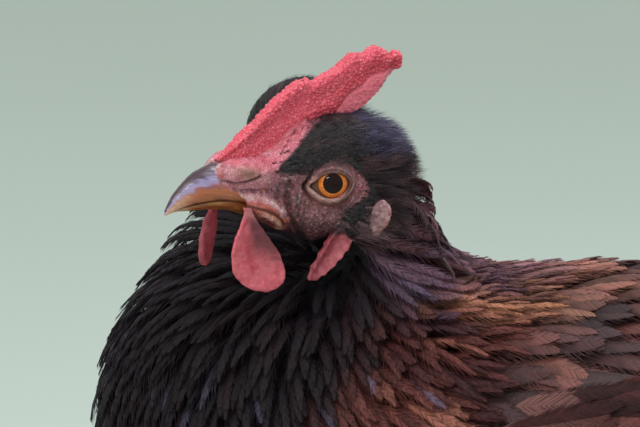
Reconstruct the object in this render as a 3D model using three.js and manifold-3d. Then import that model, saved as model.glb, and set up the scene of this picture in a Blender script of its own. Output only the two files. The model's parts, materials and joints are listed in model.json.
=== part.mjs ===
// A life-size standing hen, neck drawn in and head turned a little to its left.
// Millimetres. +Z is up, -Y is the way the body faces and +X is the hen's left side.
import * as THREE from "three";
import { mergeVertices } from "three/addons/utils/BufferGeometryUtils.js";
import Module from "manifold-3d";

const wasm = await Module();
wasm.setup();

// ---------- driving dimensions ----------

const GAP = 0.3; // left between nodes that touch
const SIDES = { left: 1, right: -1 };
const CENTRE_Y = 43; // middle of the whole length, from the breast to the tail's tip

// Trunk: y of the breast and of the rump, z of the back and of the belly.
const BREAST_Y = -139;
const RUMP_Y = 120;
const BACK_Z = 272;
const BELLY_Z = 112;
const HALF_WIDTH = 74;

// Head, as a frame of its own: x to the hen's left, y to the back, z up from the eyes' middle.
const HEAD = { x: 30.4, y: -77, z: 304.8, yaw: 30, pitch: 6, roll: 7 };
const EYE = { x: 9.2, y: 2.7, z: -0.3, radius: 7.2, lid: 1, wide: 5.6, high: 4, turn: 24, tilt: 8 };
const BILL = { root: -16, tip: -41.5, tipZ: -12, gapeZ: -9 };

// Feathers: how thick a vane is at its edge and along its shaft.
const VANE = { edge: 0.55, shaft: 0.9, short: [0, 0.55, 0.85, 1], long: [0, 0.4, 0.78, 0.94, 1] };
const WING = {
  radius: 80,
  reach: 156,
  z: 204,
  pad: { y: -9, w: 11, long: 146, deep: 102, thick: 20, drop: 3 },
};
const TAIL = { y: 118, z: 246, ridge: 12, rise: 42, tent: 27, bend: 35, apart: 1, pairs: 6 };

// Legs: the joint over the shank, the foot's middle, and the raised plates on both.
const HOCK = { x: 38, y: 26, z: 92 };
const ANKLE = { x: 43, y: 4, z: 9 };
const SHANK = { radius: 5.6, plates: 9, step: 0.6 };
const TOE = { root: 5, tip: 3.3, flat: 0.8, step: 0.5, claw: 12 };

// ---------- colours ----------

const COLOURS = {
  mahogany: 0x5a2c22,
  hackle: 0x1d1518,
  tail: 0x17120f,
  face: 0xb0625c,
  comb: 0xd8404c,
  wattle: 0xd2525e,
  lobe: 0xb89488,
  horn: 0x9a5a34,
  eye: 0xe08a1e,
  leg: 0xc9a046,
  claw: 0x6f5a3c,
};

function finish(colour, roughness) {
  return new THREE.MeshStandardMaterial({ color: colour, roughness, metalness: 0 });
}

// ---------- solids ----------

function solid(geometry) {
  const bare = geometry.clone();
  bare.deleteAttribute("normal");
  bare.deleteAttribute("uv");
  const merged = mergeVertices(bare, 1e-3);
  return new wasm.Manifold(
    new wasm.Mesh({
      numProp: 3,
      vertProperties: new Float32Array(merged.attributes.position.array),
      triVerts: new Uint32Array(merged.index.array),
    }),
  );
}

// The largest closed surface of a solid, as a geometry.
function surface(body) {
  const largest = body.decompose().sort((a, b) => b.volume() - a.volume())[0];
  const mesh = largest.getMesh();
  const geometry = new THREE.BufferGeometry();
  geometry.setAttribute("position", new THREE.BufferAttribute(mesh.vertProperties, 3));
  geometry.setIndex(new THREE.BufferAttribute(mesh.triVerts, 1));
  return geometry;
}

const joined = (solids) => solids.reduce((whole, piece) => whole.add(piece));
const radians = THREE.MathUtils.degToRad;
const mix = THREE.MathUtils.lerp;
const point = (x, y, z) => new THREE.Vector3(x, y, z);

// Everything on the side of a plane that its normal points to, as one large block.
function beyond(origin, normal, matrix = new THREE.Matrix4()) {
  const reach = 400;
  const block = new THREE.BoxGeometry(reach, reach, reach).translate(0, 0, reach / 2);
  const turn = new THREE.Quaternion().setFromUnitVectors(point(0, 0, 1), normal.clone().normalize());
  block.applyQuaternion(turn).translate(origin.x, origin.y, origin.z);
  return solid(block.applyMatrix4(matrix));
}

// ---------- rounded forms: ellipsoids blended into one another ----------

function blob(x, y, z, rx, ry, rz, tilt = 0) {
  const s = Math.sin(radians(tilt));
  const c = Math.cos(radians(tilt));
  return (p) => {
    const [dx, dy, dz] = [p.x - x, p.y - y, p.z - z];
    const [a, b, h] = [dx, dy * c + dz * s, dz * c - dy * s];
    const scaled = Math.hypot(a / rx, b / ry, h / rz);
    const slope = Math.hypot(a / rx ** 2, b / ry ** 2, h / rz ** 2);
    return slope < 1e-9 ? -Math.min(rx, ry, rz) : (scaled * (scaled - 1)) / slope;
  };
}

function blended(forms, softness) {
  return (p) =>
    forms.reduce((nearest, form) => {
      const d = form(p);
      const overlap = Math.max(softness - Math.abs(nearest - d), 0);
      return Math.min(nearest, d) - (overlap * overlap) / (4 * softness);
    }, 1e3);
}

// Distance along a ray from a point inside a form to its surface.
function reachOf(form, from, direction, grown, limit) {
  let near = 0;
  const at = (t) => form(from.clone().addScaledVector(direction, t)) - grown;
  while (near < limit && at(near) < -0.02) near += Math.max(-at(near) * 0.6, 0.1);
  return Math.min(near, limit);
}

// A sphere of triangles drawn out to a form's surface from a point inside it.
function wrapped(form, centre, stretch, detail, { grown = 0, limit = 400 } = {}) {
  const ball = new THREE.IcosahedronGeometry(1, detail);
  const places = ball.getAttribute("position");
  const direction = new THREE.Vector3();
  for (let i = 0; i < places.count; i++) {
    direction.fromBufferAttribute(places, i).multiply(stretch).normalize();
    const t = reachOf(form, centre, direction, grown, limit);
    places.setXYZ(i, ...centre.clone().addScaledVector(direction, t).toArray());
  }
  return solid(ball);
}

// ---------- trunk and neck ----------

const trunkForms = [
  blob(0, BREAST_Y + 73, 198, 62, 73, 74),
  blob(0, -5, 194, 70, 92, 72),
  blob(0, 16, 226, 56, 92, BACK_Z - 227),
  blob(0, 6, BELLY_Z + 50, 58, 70, 50),
  blob(0, RUMP_Y - 52, 211, 56, 54, 46, 6), // rump
  blob(0, RUMP_Y - 60, 182, 48, 46, 44, 30), // fluff under the tail
  blob(HALF_WIDTH - 38, -34, 214, 38, 62, 46),
  blob(38 - HALF_WIDTH, -34, 214, 38, 62, 46),
  blob(0, TAIL.y - 18, TAIL.z + 1, 29, 40, 23, 30), // cushion over the tail's root
];
const neckForms = [
  blob(0, BREAST_Y + 56, 242, 50, 50, 42),
  blob(-11, -82, 268, 27, 35, 30),
  blob(9, -62, 264, 28, 25, 24),
  blob(19, -58, 286, 14, 17, 34),
];
const bodyForm = blended([blended(trunkForms, 22), blended(neckForms, 12)], 22);

const NECK_ROOT = point(0, -84, 249); // on the plane between the trunk and the neck
const NECK_LINE = point(0, -0.42, 0.91).normalize();

function trunkSolid(grown = 0) {
  return wrapped(bodyForm, point(0, -20, 200), point(0.8, 1.45, 0.85), 6, { grown });
}

const trunkGrown = trunkSolid(GAP);

// ---------- head ----------

const headPlace = new THREE.Matrix4().compose(
  point(HEAD.x, HEAD.y, HEAD.z),
  new THREE.Quaternion().setFromEuler(
    new THREE.Euler(radians(-HEAD.pitch), radians(HEAD.roll), radians(HEAD.yaw), "ZXY"),
  ),
  point(1, 1, 1),
);

const headForms = [
  blob(0, 6, 2, 13.4, 21, 15, 8), // skull
  blob(0, -2, -6.5, 11, 15, 9, -8), // jaw
  blob(0, -13, -1.5, 7.2, 14.5, 7, -10), // base of the bill
  blob(-7.5, -2, 12, 7, 16, 13.5), // crown feathers, fuller on the side that the comb leans from
  blob(6, 5, 9, 6, 12, 8, 8),
  ...Object.values(SIDES).flatMap((s) => [
    blob(s * 9.4, 13.5, -8, 5.6, 8, 8.8, 10), // ear
    blob(s * 7, -14.5, -9.6, 2.4, 6.5, 1.7, -18), // fold behind the corner of the mouth
    blob(s * 4.6, -21, 1.6, 2, 4.4, 1.8, -8), // lid over the nostril
  ]),
];
const faceForm = blended(headForms, 4);

// The head and neck together, in the head's own frame.
const headAndNeckForm = blended(
  [faceForm, (p) => bodyForm(p.clone().applyMatrix4(headPlace))],
  6,
);
const HEAD_ROOT = point(0, 18.5, -4); // on the plane between the head and the neck
const HEAD_LINE = point(0, -0.93, 0.37).normalize();
const HEAD_MIDDLE = point(0, 1, 0);
const HEAD_SKIN = 2.5; // how far the head's node reaches out past the bare head, into the neck

// The room that the head takes out of the neck.
function headRoom(grown) {
  const room = wrapped(faceForm, HEAD_MIDDLE, point(1, 1.3, 1), 5, { grown: HEAD_SKIN + grown });
  const root = HEAD_ROOT.clone().addScaledVector(HEAD_LINE, -grown);
  return room.intersect(beyond(root, HEAD_LINE));
}

const headPlaced = (body) => body.transform([...headPlace.elements]);
const seenFromHead = (body) => body.transform([...headPlace.clone().invert().elements]);

// ---------- groups ----------

const hen = new THREE.Group();
const headGroup = new THREE.Group();
headGroup.applyMatrix4(headPlace);
hen.add(headGroup);

function place(group, name, body, colour, roughness) {
  const mesh = new THREE.Mesh(surface(body), finish(colour, roughness));
  mesh.name = name;
  group.add(mesh);
}

// A piece for each side, made by a function of the side's sign.
function placePair(group, name, make, colour, roughness) {
  for (const [side, sign] of Object.entries(SIDES)) {
    place(group, `${name}_${side}`, make(sign), colour, roughness);
  }
}

const mirrored = (body, sign) => (sign > 0 ? body : body.mirror([1, 0, 0]));

function addTrunk() {
  const neckSide = beyond(NECK_ROOT.clone().addScaledVector(NECK_LINE, -GAP / 2), NECK_LINE);
  place(hen, "torso", trunkSolid().subtract(neckSide), COLOURS.mahogany, 0.75);
}

function neckSolid(grown = 0) {
  const whole = wrapped(bodyForm, point(4, -76, 240), point(1, 1, 1), 6, { grown, limit: 110 });
  const root = NECK_ROOT.clone().addScaledVector(NECK_LINE, GAP / 2 - grown);
  return whole.subtract(beyond(root, NECK_LINE.clone().negate()));
}

function addNeck() {
  const body = neckSolid().subtract(headPlaced(headRoom(GAP)));
  place(hen, "neck", body, COLOURS.hackle, 0.6);
}

// ---------- lengths of round section, such as a toe, claw or bill ----------

// Rings along a path: stations hold a centre, a half width, a half height and a shape power.
function lofted(stations, sides, up = point(0, 0, 1)) {
  const rings = stations.map(({ at, wide, high, crest = 0 }, i) => {
    const ahead = stations[Math.min(i + 1, stations.length - 1)].at;
    const behind = stations[Math.max(i - 1, 0)].at;
    const along = ahead.clone().sub(behind).normalize();
    const across = along.clone().cross(up).normalize();
    const above = across.clone().cross(along).normalize();
    return Array.from({ length: sides }, (_, k) => {
      const angle = (2 * Math.PI * (k + 0.5)) / sides;
      const [c, s] = [Math.cos(angle), Math.sin(angle)];
      const raised = s > 0.3 ? crest : 0;
      return at.clone().addScaledVector(across, (wide + raised) * c)
        .addScaledVector(above, (high + raised) * s);
    });
  });
  return ringed(rings);
}

// A closed solid from rings of corners, all with the same count.
function ringed(rings) {
  const sides = rings[0].length;
  const places = rings.flat();
  const middle = (ring) =>
    ring.reduce((sum, p) => sum.add(p), point(0, 0, 0)).divideScalar(sides);
  const first = places.push(middle(rings[0])) - 1;
  const last = places.push(middle(rings.at(-1))) - 1;
  const end = (rings.length - 1) * sides;
  const faces = [];
  for (let k = 0; k < sides; k++) {
    const next = (k + 1) % sides;
    faces.push(first, next, k, last, end + k, end + next);
    for (let i = 0; i < end; i += sides) {
      faces.push(i + k, i + next, i + next + sides, i + k, i + next + sides, i + k + sides);
    }
  }
  return closedShape(places, faces);
}

// A solid from corners and triangles, turned to face outwards.
function closedShape(places, faces) {
  const geometry = new THREE.BufferGeometry().setFromPoints(places);
  geometry.setIndex(faces);
  const body = solid(geometry);
  if (body.volume() > 0) return body;
  geometry.setIndex(faces.map((_, i) => faces[i - (i % 3) + [0, 2, 1][i % 3]]));
  return solid(geometry);
}

// A thin plate over a grid: middle, normal and half thickness are functions of u and v, 0 to 1.
function plate(columns, rows, { middle, normal, half }) {
  const count = (columns + 1) * (rows + 1);
  const sideOf = (sign) => (_, k) => {
    const [u, v] = [(k % (columns + 1)) / columns, Math.floor(k / (columns + 1)) / rows];
    return middle(u, v).addScaledVector(normal(u, v), sign * half(u, v));
  };
  const places = [1, -1].flatMap((sign) => Array.from({ length: count }, sideOf(sign)));
  const faces = [];
  const quad = (a, b, c, d) => faces.push(a, b, c, a, c, d);
  for (let i = 0; i < columns; i++) {
    for (let j = 0; j < rows; j++) {
      const a = j * (columns + 1) + i;
      const [b, c, d] = [a + 1, a + columns + 2, a + columns + 1];
      quad(a, b, c, d);
      quad(count + a, count + d, count + c, count + b);
    }
  }
  const rim = [];
  for (let i = 0; i < columns; i++) rim.push(i);
  for (let j = 0; j < rows; j++) rim.push(j * (columns + 1) + columns);
  for (let i = columns; i > 0; i--) rim.push(rows * (columns + 1) + i);
  for (let j = rows; j > 0; j--) rim.push(j * (columns + 1));
  rim.forEach((a, i) => {
    const b = rim[(i + 1) % rim.length];
    quad(b, a, a + count, b + count);
  });
  return closedShape(places, faces);
}

// ---------- face ----------

function eyeBall(sign, grown = 0) {
  const ball = new THREE.SphereGeometry(EYE.radius + grown, 12, 8);
  ball.rotateZ(Math.PI / 2).translate(sign * EYE.x, EYE.y, EYE.z);
  return solid(ball);
}

// The lids: a shell over the eyeball with an almond opening, turned a little to the front.
function lids(sign) {
  const shell = new THREE.SphereGeometry(EYE.radius + EYE.lid, 14, 8).rotateZ(Math.PI / 2);
  const opening = new THREE.CylinderGeometry(1, 1, 20, 14).rotateZ(Math.PI / 2).translate(12, 0, 0);
  opening.scale(1, EYE.wide, EYE.high).rotateX(radians(10));
  opening.rotateY(radians(-EYE.tilt)).rotateZ(radians(-EYE.turn));
  const pair = solid(shell).subtract(solid(opening)).translate(EYE.x, EYE.y, EYE.z);
  return mirrored(pair, sign);
}

// A bill's ring: round above, and below a flat mouth side.
function billRing(y, top, edge, wide) {
  const sides = 10;
  return Array.from({ length: sides }, (_, k) => {
    const angle = (Math.PI * k) / (sides - 1);
    return point(wide * Math.cos(angle), y, mix(edge, top, Math.sin(angle) ** 0.8));
  });
}

const billEdge = (s) => mix(BILL.gapeZ + 2.4, BILL.tipZ - 0.2, s ** 1.6);

function billUpper(grown = 0) {
  const rings = [0, 0.22, 0.42, 0.6, 0.76, 0.9, 1].map((s) => {
    const top = mix(3.6, BILL.tipZ + 0.7, s ** 3.4);
    const wide = mix(6.4, 0.6, s ** 1.5);
    return billRing(mix(BILL.root, BILL.tip, s) - (s > 0.9 ? grown : 0), top + grown,
      billEdge(s) - grown, wide + grown);
  });
  return ringed(rings);
}

function billLower(grown = 0) {
  const rings = [0, 0.3, 0.6, 0.85, 1].map((s) => {
    const depth = mix(4.6, 1.1, s ** 1.3);
    const at = s * 0.88;
    return billRing(mix(BILL.root, BILL.tip, at), billEdge(at) - GAP - depth - grown,
      billEdge(at) - GAP + grown, mix(5.9, 1.4, s ** 1.5) + grown);
  });
  return ringed(rings);
}

// The comb's foot and top edge, each as y and z from the front of the comb to its back tip.
const COMB = {
  foot: [[-28, -1.5], [-22, -1], [-15, 1], [-8, 6], [0, 12.5], [8, 16], [14, 19.5], [18, 24], [21.5, 28.5]],
  top: [
    [-28.5, 3], [-24.5, 9.5], [-20.3, 14.4], [-15.5, 20], [-10.6, 24.4], [-7, 26.4], [-4.4, 25.2],
    [0, 27.2], [4.2, 29.8], [7, 33], [9.5, 34.2], [11.4, 33.4], [14.5, 36], [17, 35.4], [18.6, 33.9],
    [21, 35.1], [22.9, 33.8], [23.2, 31.4],
  ],
  half: 2.1,
};

const alongCurve = (rows) =>
  new THREE.CatmullRomCurve3(rows.map(([y, z]) => point(0, y, z)), false, "centripetal");

function combBlade() {
  const foot = alongCurve(COMB.foot);
  const top = alongCurve(COMB.top);
  return plate(24, 3, {
    middle: (u, v) => {
      const p = foot.getPoint(u).lerp(top.getPoint(u), v);
      p.x += 1.4 * v * v * Math.sin(7 * u) + 2.2 * v;
      return p;
    },
    normal: () => point(1, 0, 0),
    half: (u, v) => {
      const foot = 1 + 1.7 * (1 - v) ** 2 * Math.max(0, 1 - 1.6 * u);
      const ends = Math.min(1, 0.5 + 6 * Math.min(u, 1 - u));
      return COMB.half * foot * ends * (v > 0.99 ? 0.5 : 1);
    },
  });
}

// A hanging leaf of skin: root, length down, width, and the turn of its face about the vertical.
function leaf({ root, long, wide, turn, thick, neck, belly, lean = 0, curl = 0 }) {
  const across = point(Math.sin(radians(turn)), Math.cos(radians(turn)), 0);
  const face = point(Math.cos(radians(turn)), -Math.sin(radians(turn)), 0);
  const widthAt = (v) =>
    v < belly
      ? mix(neck, 1, Math.sin((v / belly) * (Math.PI / 2)))
      : Math.sqrt(Math.max(1 - ((v - belly) / (1.03 - belly)) ** 2, 0));
  return plate(5, 6, {
    middle: (u, v) => {
      const side = (2 * u - 1) * (wide / 2) * widthAt(v);
      const p = root.clone().addScaledVector(across, side + lean * v);
      p.addScaledVector(face, curl * (4 * (u - 0.5) ** 2 - 0.3) * Math.sin(Math.PI * v));
      p.z -= long * v;
      return p;
    },
    normal: () => face,
    half: (u, v) => thick * (u < 0.01 || u > 0.99 || v > 0.99 ? 0.4 : 1),
  });
}

function headSolid(grown = 0) {
  return wrapped(headAndNeckForm, HEAD_MIDDLE, point(1, 1.3, 1), 6, { grown, limit: 60 });
}

function addHead() {
  const cup = (s) => solid(new THREE.SphereGeometry(2.4, 8, 5).translate(s * 15.4, 12, -2.6));
  const nostril = (s) => {
    const slot = new THREE.SphereGeometry(1, 10, 6).scale(1.6, 3.4, 0.7).rotateX(radians(8));
    return solid(slot.translate(s * 6.2, -21, -1));
  };
  const cuts = Object.values(SIDES).flatMap((s) => [eyeBall(s, GAP), cup(s), nostril(s)]);
  const body = joined([headSolid().intersect(headRoom(0)), lids(1), lids(-1)])
    .subtract(joined([...cuts, billUpper(GAP), billLower(GAP)]));
  place(headGroup, "head", body, COLOURS.face, 0.6);
  placePair(headGroup, "eye", (sign) => eyeBall(sign), COLOURS.eye, 0.1);
  place(headGroup, "bill_upper", billUpper(), COLOURS.horn, 0.35);
  place(headGroup, "bill_lower", billLower().subtract(billUpper(GAP)), COLOURS.horn, 0.35);
}

function addComb() {
  const clear = headSolid(GAP).add(billUpper(GAP));
  place(headGroup, "comb", combBlade().subtract(clear), COLOURS.comb, 0.5);
}

// Wattles hang from the lower bill's root, and a fold of the throat behind each.
function addWattles() {
  const wattle = { thick: 1.3, neck: 0.25, belly: 0.66 };
  const wattles = {
    left: { ...wattle, root: point(8, -18.3, -9), long: 22, wide: 15, turn: 12, lean: 1.4, curl: 2 },
    right: { ...wattle, root: point(-6.5, -23, -10), long: 18.5, wide: 14, turn: -45, curl: -2 },
  };
  const fold = { long: 17.5, wide: 12.5, thick: 1.4, neck: 0.9, belly: 0.12, lean: -5 };
  const folds = {
    left: { ...fold, root: point(10.8, 7.5, -12), turn: -8, curl: 1.4 },
    right: { ...fold, root: point(-11, 7, -11), long: 15, turn: 8, curl: -1.4 },
  };
  const clear = joined([
    headSolid(GAP).intersect(headRoom(GAP)),
    seenFromHead(neckSolid(GAP)),
    billLower(GAP),
    billUpper(GAP),
  ]);
  for (const side of Object.keys(SIDES)) {
    place(headGroup, `wattle_${side}`, leaf(wattles[side]).subtract(clear), COLOURS.wattle, 0.5);
    place(headGroup, `throat_fold_${side}`, leaf(folds[side]).subtract(clear), COLOURS.wattle, 0.5);
  }
  const lobe = (sign) => {
    const disc = new THREE.SphereGeometry(1, 10, 6).scale(2.2, 3.2, 6).rotateX(radians(-10));
    const out = sign > 0 ? 15 : 17;
    return solid(disc.translate(sign * out, 17, -9.4)).subtract(clear);
  };
  placePair(headGroup, "earlobe", lobe, COLOURS.lobe, 0.5);
}

// ---------- feathers ----------

// Half a vane's width along its length, from 0 at the quill to 1 at the tip.
function vaneWidth(v, round) {
  if (v < 0.6) return mix(0.4, 1, Math.sin((v / 0.6) * (Math.PI / 2)));
  return Math.sqrt(Math.max(1 - ((v - 0.6) / round) ** 2, 0));
}

// One closed vane over a sheet: the sheet turns along, across and lift into a point in space.
function vane(sheet, { long, wide, round = 0.42, roll = 0, rise, steps = VANE.short }) {
  const at = (u, j, extra) => {
    const v = steps[Math.round(j * (steps.length - 1))];
    const across = (2 * u - 1) * (wide / 2) * vaneWidth(v, round);
    return sheet(v * long, across, rise(v * long) + roll * across + extra);
  };
  return plate(2, steps.length - 1, {
    middle: (u, j) => at(u, j, 0),
    normal: (u, j) => at(u, j, 1).sub(at(u, j, 0)).normalize(),
    half: (u) => (u > 0.4 && u < 0.6 ? VANE.shaft : VANE.edge) / 2,
  });
}

// A wing's sheet: a surface of revolution along Y, a little outside the trunk.
function wingSheet(y, w, lift) {
  const radius = WING.radius * Math.sqrt(1 - ((y + 10) / WING.reach) ** 2) + lift;
  const angle = w / WING.radius;
  return point(radius * Math.cos(angle), y, WING.z + radius * Math.sin(angle));
}

// The fleshy part of the wing, an oval pad between the trunk and the sheet.
function wingPad() {
  const { y, w, long, deep, thick, drop } = WING.pad;
  const spread = (u, v) => {
    const [a, b] = [2 * u - 1, 2 * v - 1];
    return [a * Math.sqrt(1 - (b * b) / 2), b * Math.sqrt(1 - (a * a) / 2)];
  };
  const at = (u, v, lift) => {
    const [a, b] = spread(u, v);
    return wingSheet(y + (a * long) / 2, w + (b * deep) / 2, lift - drop * (a * a + b * b) ** 4);
  };
  return plate(7, 5, {
    middle: (u, v) => at(u, v, -thick / 2),
    normal: (u, v) => at(u, v, 1).sub(at(u, v, 0)).normalize(),
    half: () => thick / 2,
  });
}

// A row of vanes whose quills lie evenly from one place on the sheet to another.
function wingRow({ from, to, count, long, wide, aim, ...rest }) {
  return Array.from({ length: count }, (_, i) => {
    const t = i / (count - 1);
    const [y, w] = [mix(from[0], to[0], t), mix(from[1], to[1], t)];
    const turn = radians(mix(aim[0], aim[1], t));
    const [c, s] = [Math.cos(turn), Math.sin(turn)];
    const sheet = (a, b, lift) => wingSheet(y + a * c - b * s, w + a * s + b * c, lift);
    return vane(sheet, { long: mix(long[0], long[1], t), wide, ...rest });
  });
}

const tileRise = (a) => -1.4 + 0.09 * Math.min(a, 46);

const WING_ROWS = {
  primaries: {
    from: [28, -20], to: [38, 10], count: 4, long: [86, 80], wide: 15, aim: [5, 4],
    roll: -0.15, rise: (a) => -5.3 + 0.012 * a, steps: VANE.long, round: 0.41,
  },
  secondaries: {
    from: [-2, -31], to: [38, 38], count: 6, long: [70, 58], wide: 20, aim: [5, -3],
    roll: -0.15, rise: (a) => -2.2 + 0.008 * a, steps: VANE.long,
  },
  greaterCoverts: {
    from: [-22, -27], to: [12, 38], count: 6, long: [46, 44], wide: 11.6, aim: [5, -3], rise: tileRise,
  },
  medianCoverts: {
    from: [-40, -25], to: [-6, 36], count: 5, long: [38, 37], wide: 14.6, aim: [6, -4], rise: tileRise,
  },
  lesserCoverts: {
    from: [-54, -19], to: [-26, 34], count: 4, long: [36, 34], wide: 16.4, aim: [7, -5], rise: tileRise,
  },
  shoulderCoverts: {
    from: [-68, -9], to: [-47, 31], count: 3, long: [33, 32], wide: 19.5, aim: [6, -4], rise: tileRise,
  },
  scapulars: {
    from: [-30, 50.5], to: [16, 52], count: 3, long: [44, 42], wide: 13, aim: [-3, 0],
    rise: (a) => -3.4 + 0.22 * Math.min(a, 28),
  },
};

function wing(sign) {
  const vanes = Object.values(WING_ROWS).flatMap(wingRow);
  return mirrored(joined([wingPad(), ...vanes]).subtract(trunkGrown), sign);
}

// The tail's tent on one side: a ridge that rises, and a slope down from it.
function tailSheet(a, b, depth) {
  const rise = radians(TAIL.rise);
  const half = radians(TAIL.tent);
  const flare = 0.0005 * a * a * Math.min(Math.max(b, 0) / 40, 1);
  const down = b * Math.cos(half) - depth * Math.sin(half);
  return point(
    TAIL.apart + b * Math.sin(half) + depth * Math.cos(half) + flare,
    TAIL.y + a * Math.cos(rise) + down * Math.sin(rise),
    TAIL.z + TAIL.ridge + a * Math.sin(rise) - down * Math.cos(rise),
  );
}

// One side's fan of vanes, the highest lying over the next.
function tailFan({ count, long, wide, step, spread, start, layer, over, steps }) {
  return Array.from({ length: count }, (_, i) => {
    const t = i / (count - 1);
    const turn = radians(mix(step[0], step[1], t));
    const [c, s] = [Math.cos(turn), Math.sin(turn)];
    const top = mix(spread[0], spread[1], t);
    const sheet = (a, b, lift) => tailSheet(start + a * c - b * s, top + a * s + b * c, lift);
    const rise = (a) => over - layer * i + 0.02 * a;
    return vane(sheet, { long: mix(long[0], long[1], t), wide, rise, round: 0.45, steps });
  });
}

// A vane that roofs both sides along the ridge, bent down its shaft.
function tailRidge({ long, wide, start, lift, steps }) {
  const rise = radians(TAIL.rise);
  const bend = radians(TAIL.bend);
  const sheet = (a, b, extra) => {
    const above = lift + extra - Math.abs(b) * Math.sin(bend);
    return point(
      b * Math.cos(bend),
      TAIL.y + (start + a) * Math.cos(rise) - above * Math.sin(rise),
      TAIL.z + TAIL.ridge + (start + a) * Math.sin(rise) + above * Math.cos(rise),
    );
  };
  return vane(sheet, { long, wide, rise: () => 0, round: 0.45, steps });
}

function tailBase() {
  const ball = new THREE.SphereGeometry(1, 16, 8).scale(24, 36, 20).rotateX(radians(TAIL.rise));
  return solid(ball.translate(0, TAIL.y - 4, TAIL.z - 3));
}

const TAIL_FANS = [
  {
    count: TAIL.pairs, long: [122, 96], wide: 26, step: [1, 33], spread: [14.5, 18], start: -6,
    layer: 1.5, over: 0, steps: VANE.long,
  },
  {
    count: 3, long: [58, 44], wide: 22, step: [4, 36], spread: [16, 24], start: -12,
    layer: 1.35, over: 2.6, steps: VANE.short,
  },
];
const TAIL_RIDGES = [
  { long: 124, wide: 26, start: -6, lift: 1.7, steps: VANE.long },
  { long: 62, wide: 22, start: -12, lift: 3.2, steps: VANE.short },
];

function tail() {
  const half = joined(TAIL_FANS.flatMap(tailFan));
  return joined([tailBase(), half, half.mirror([1, 0, 0]), ...TAIL_RIDGES.map(tailRidge)])
    .subtract(trunkGrown);
}

// ---------- legs ----------

// Rings from one end of a line to the other, each with a half width.
function tube(ends, widths, sides, up) {
  const stations = widths.map((wide, i) => ({
    at: ends[0].clone().lerp(ends[1], i / (widths.length - 1)),
    wide,
    high: wide,
  }));
  return lofted(stations, sides, up);
}

function thigh(grown = 0) {
  const top = point(HOCK.x - 3, HOCK.y - 34, HOCK.z + 62);
  const low = point(HOCK.x, HOCK.y, HOCK.z + 4);
  return tube([top, low], [26, 32, 31, 25, 17.5, 12, 9, 6].map((r) => r + grown), 10);
}

// The bare shank with its joint, the raised plates down its front and the pad that the toes leave.
function shank(grown = 0) {
  const top = point(HOCK.x, HOCK.y, HOCK.z);
  const low = point(ANKLE.x, ANKLE.y, ANKLE.z);
  const steps = 2 * SHANK.plates;
  const stations = Array.from({ length: steps + 1 }, (_, i) => {
    const t = i / steps;
    const knob = 2.6 * Math.exp(-((t / 0.1) ** 2)) + 1.6 * Math.exp(-(((1 - t) / 0.12) ** 2));
    return {
      at: top.clone().lerp(low, t + (i % 2 ? 0.35 / steps : 0)),
      wide: SHANK.radius * 0.86 + knob + grown,
      high: SHANK.radius + knob + grown,
      crest: i % 2 ? SHANK.step : 0,
    };
  });
  const pad = new THREE.SphereGeometry(1, 10, 6).scale(8.6 + grown, 9.4 + grown, 8 + grown);
  const foot = solid(pad.translate(ANKLE.x, ANKLE.y, ANKLE.z - 2));
  return lofted(stations, 8, point(0, -1, 0)).add(foot).subtract(beyond(point(0, 0, 0), point(0, 0, -1)));
}

// A toe's line, from the foot's pad to where the claw grows.
function toeLine({ aim, long }) {
  const direction = point(Math.sin(radians(aim)), -Math.cos(radians(aim)), 0);
  const root = point(ANKLE.x, ANKLE.y, 0);
  return (s) => root.clone().addScaledVector(direction, s * long);
}

function toe(shape, grown = 0) {
  const line = toeLine(shape);
  const steps = 2 * shape.plates;
  const stations = Array.from({ length: steps + 1 }, (_, i) => {
    const s = 0.06 + (0.94 * i) / steps;
    const joint = 0.35 * Math.cos(2 * Math.PI * s * shape.joints);
    const radius = mix(TOE.root, TOE.tip, s) + joint + grown;
    const at = line(s);
    at.z = radius - TOE.flat - grown;
    return { at, wide: radius, high: radius, crest: i % 2 ? TOE.step : 0 };
  });
  return lofted(stations, 6).subtract(beyond(point(0, 0, 0), point(0, 0, -1)));
}

function claw(shape, grown = 0) {
  const line = toeLine(shape);
  const reach = TOE.claw / shape.long;
  const stations = [-0.35, 0, 0.4, 0.75, 1].map((s) => {
    const at = line(1 + s * reach);
    at.z = mix(TOE.tip + 0.6, 0.9 + grown, Math.max(s, 0) ** 1.8);
    const radius = mix(2, 0.35, Math.max(s, 0)) + grown;
    return { at, wide: radius * 0.85, high: radius };
  });
  return lofted(stations, 6);
}

const TOES = {
  middle: { aim: 4, long: 58, plates: 5, joints: 3 },
  inner: { aim: -36, long: 42, plates: 4, joints: 2 },
  outer: { aim: 42, long: 45, plates: 4, joints: 4 },
  back: { aim: 172, long: 23, plates: 2, joints: 1 },
};

function addLegs() {
  const trunk = trunkSolid(GAP);
  placePair(hen, "thigh", (sign) =>
    mirrored(thigh().subtract(joined([trunk, shank(GAP)])), sign), COLOURS.mahogany, 0.75);
  placePair(hen, "shank", (sign) => mirrored(shank(), sign), COLOURS.leg, 0.5);
  const taken = [shank(GAP)];
  for (const [name, shape] of Object.entries(TOES)) {
    const body = toe(shape).subtract(joined([...taken, claw(shape, GAP)]));
    placePair(hen, `toe_${name}`, (sign) => mirrored(body, sign), COLOURS.leg, 0.5);
    placePair(hen, `claw_${name}`, (sign) => mirrored(claw(shape), sign), COLOURS.claw, 0.4);
    taken.push(toe(shape, GAP));
  }
}

addTrunk();
addNeck();
addHead();
addComb();
addWattles();
placePair(hen, "wing", wing, COLOURS.mahogany, 0.7);
place(hen, "tail", tail(), COLOURS.tail, 0.6);
addLegs();

hen.position.set(0, -CENTRE_Y, 0);

export default hen;
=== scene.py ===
"""A life-size standing hen: skin, coat, comb, bill, eyes, wings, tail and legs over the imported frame.

Shapes are worked out in millimetres in the frame's own axes: +X is the hen's left, -Y is the way it faces.
"""
import json
import math

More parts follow.
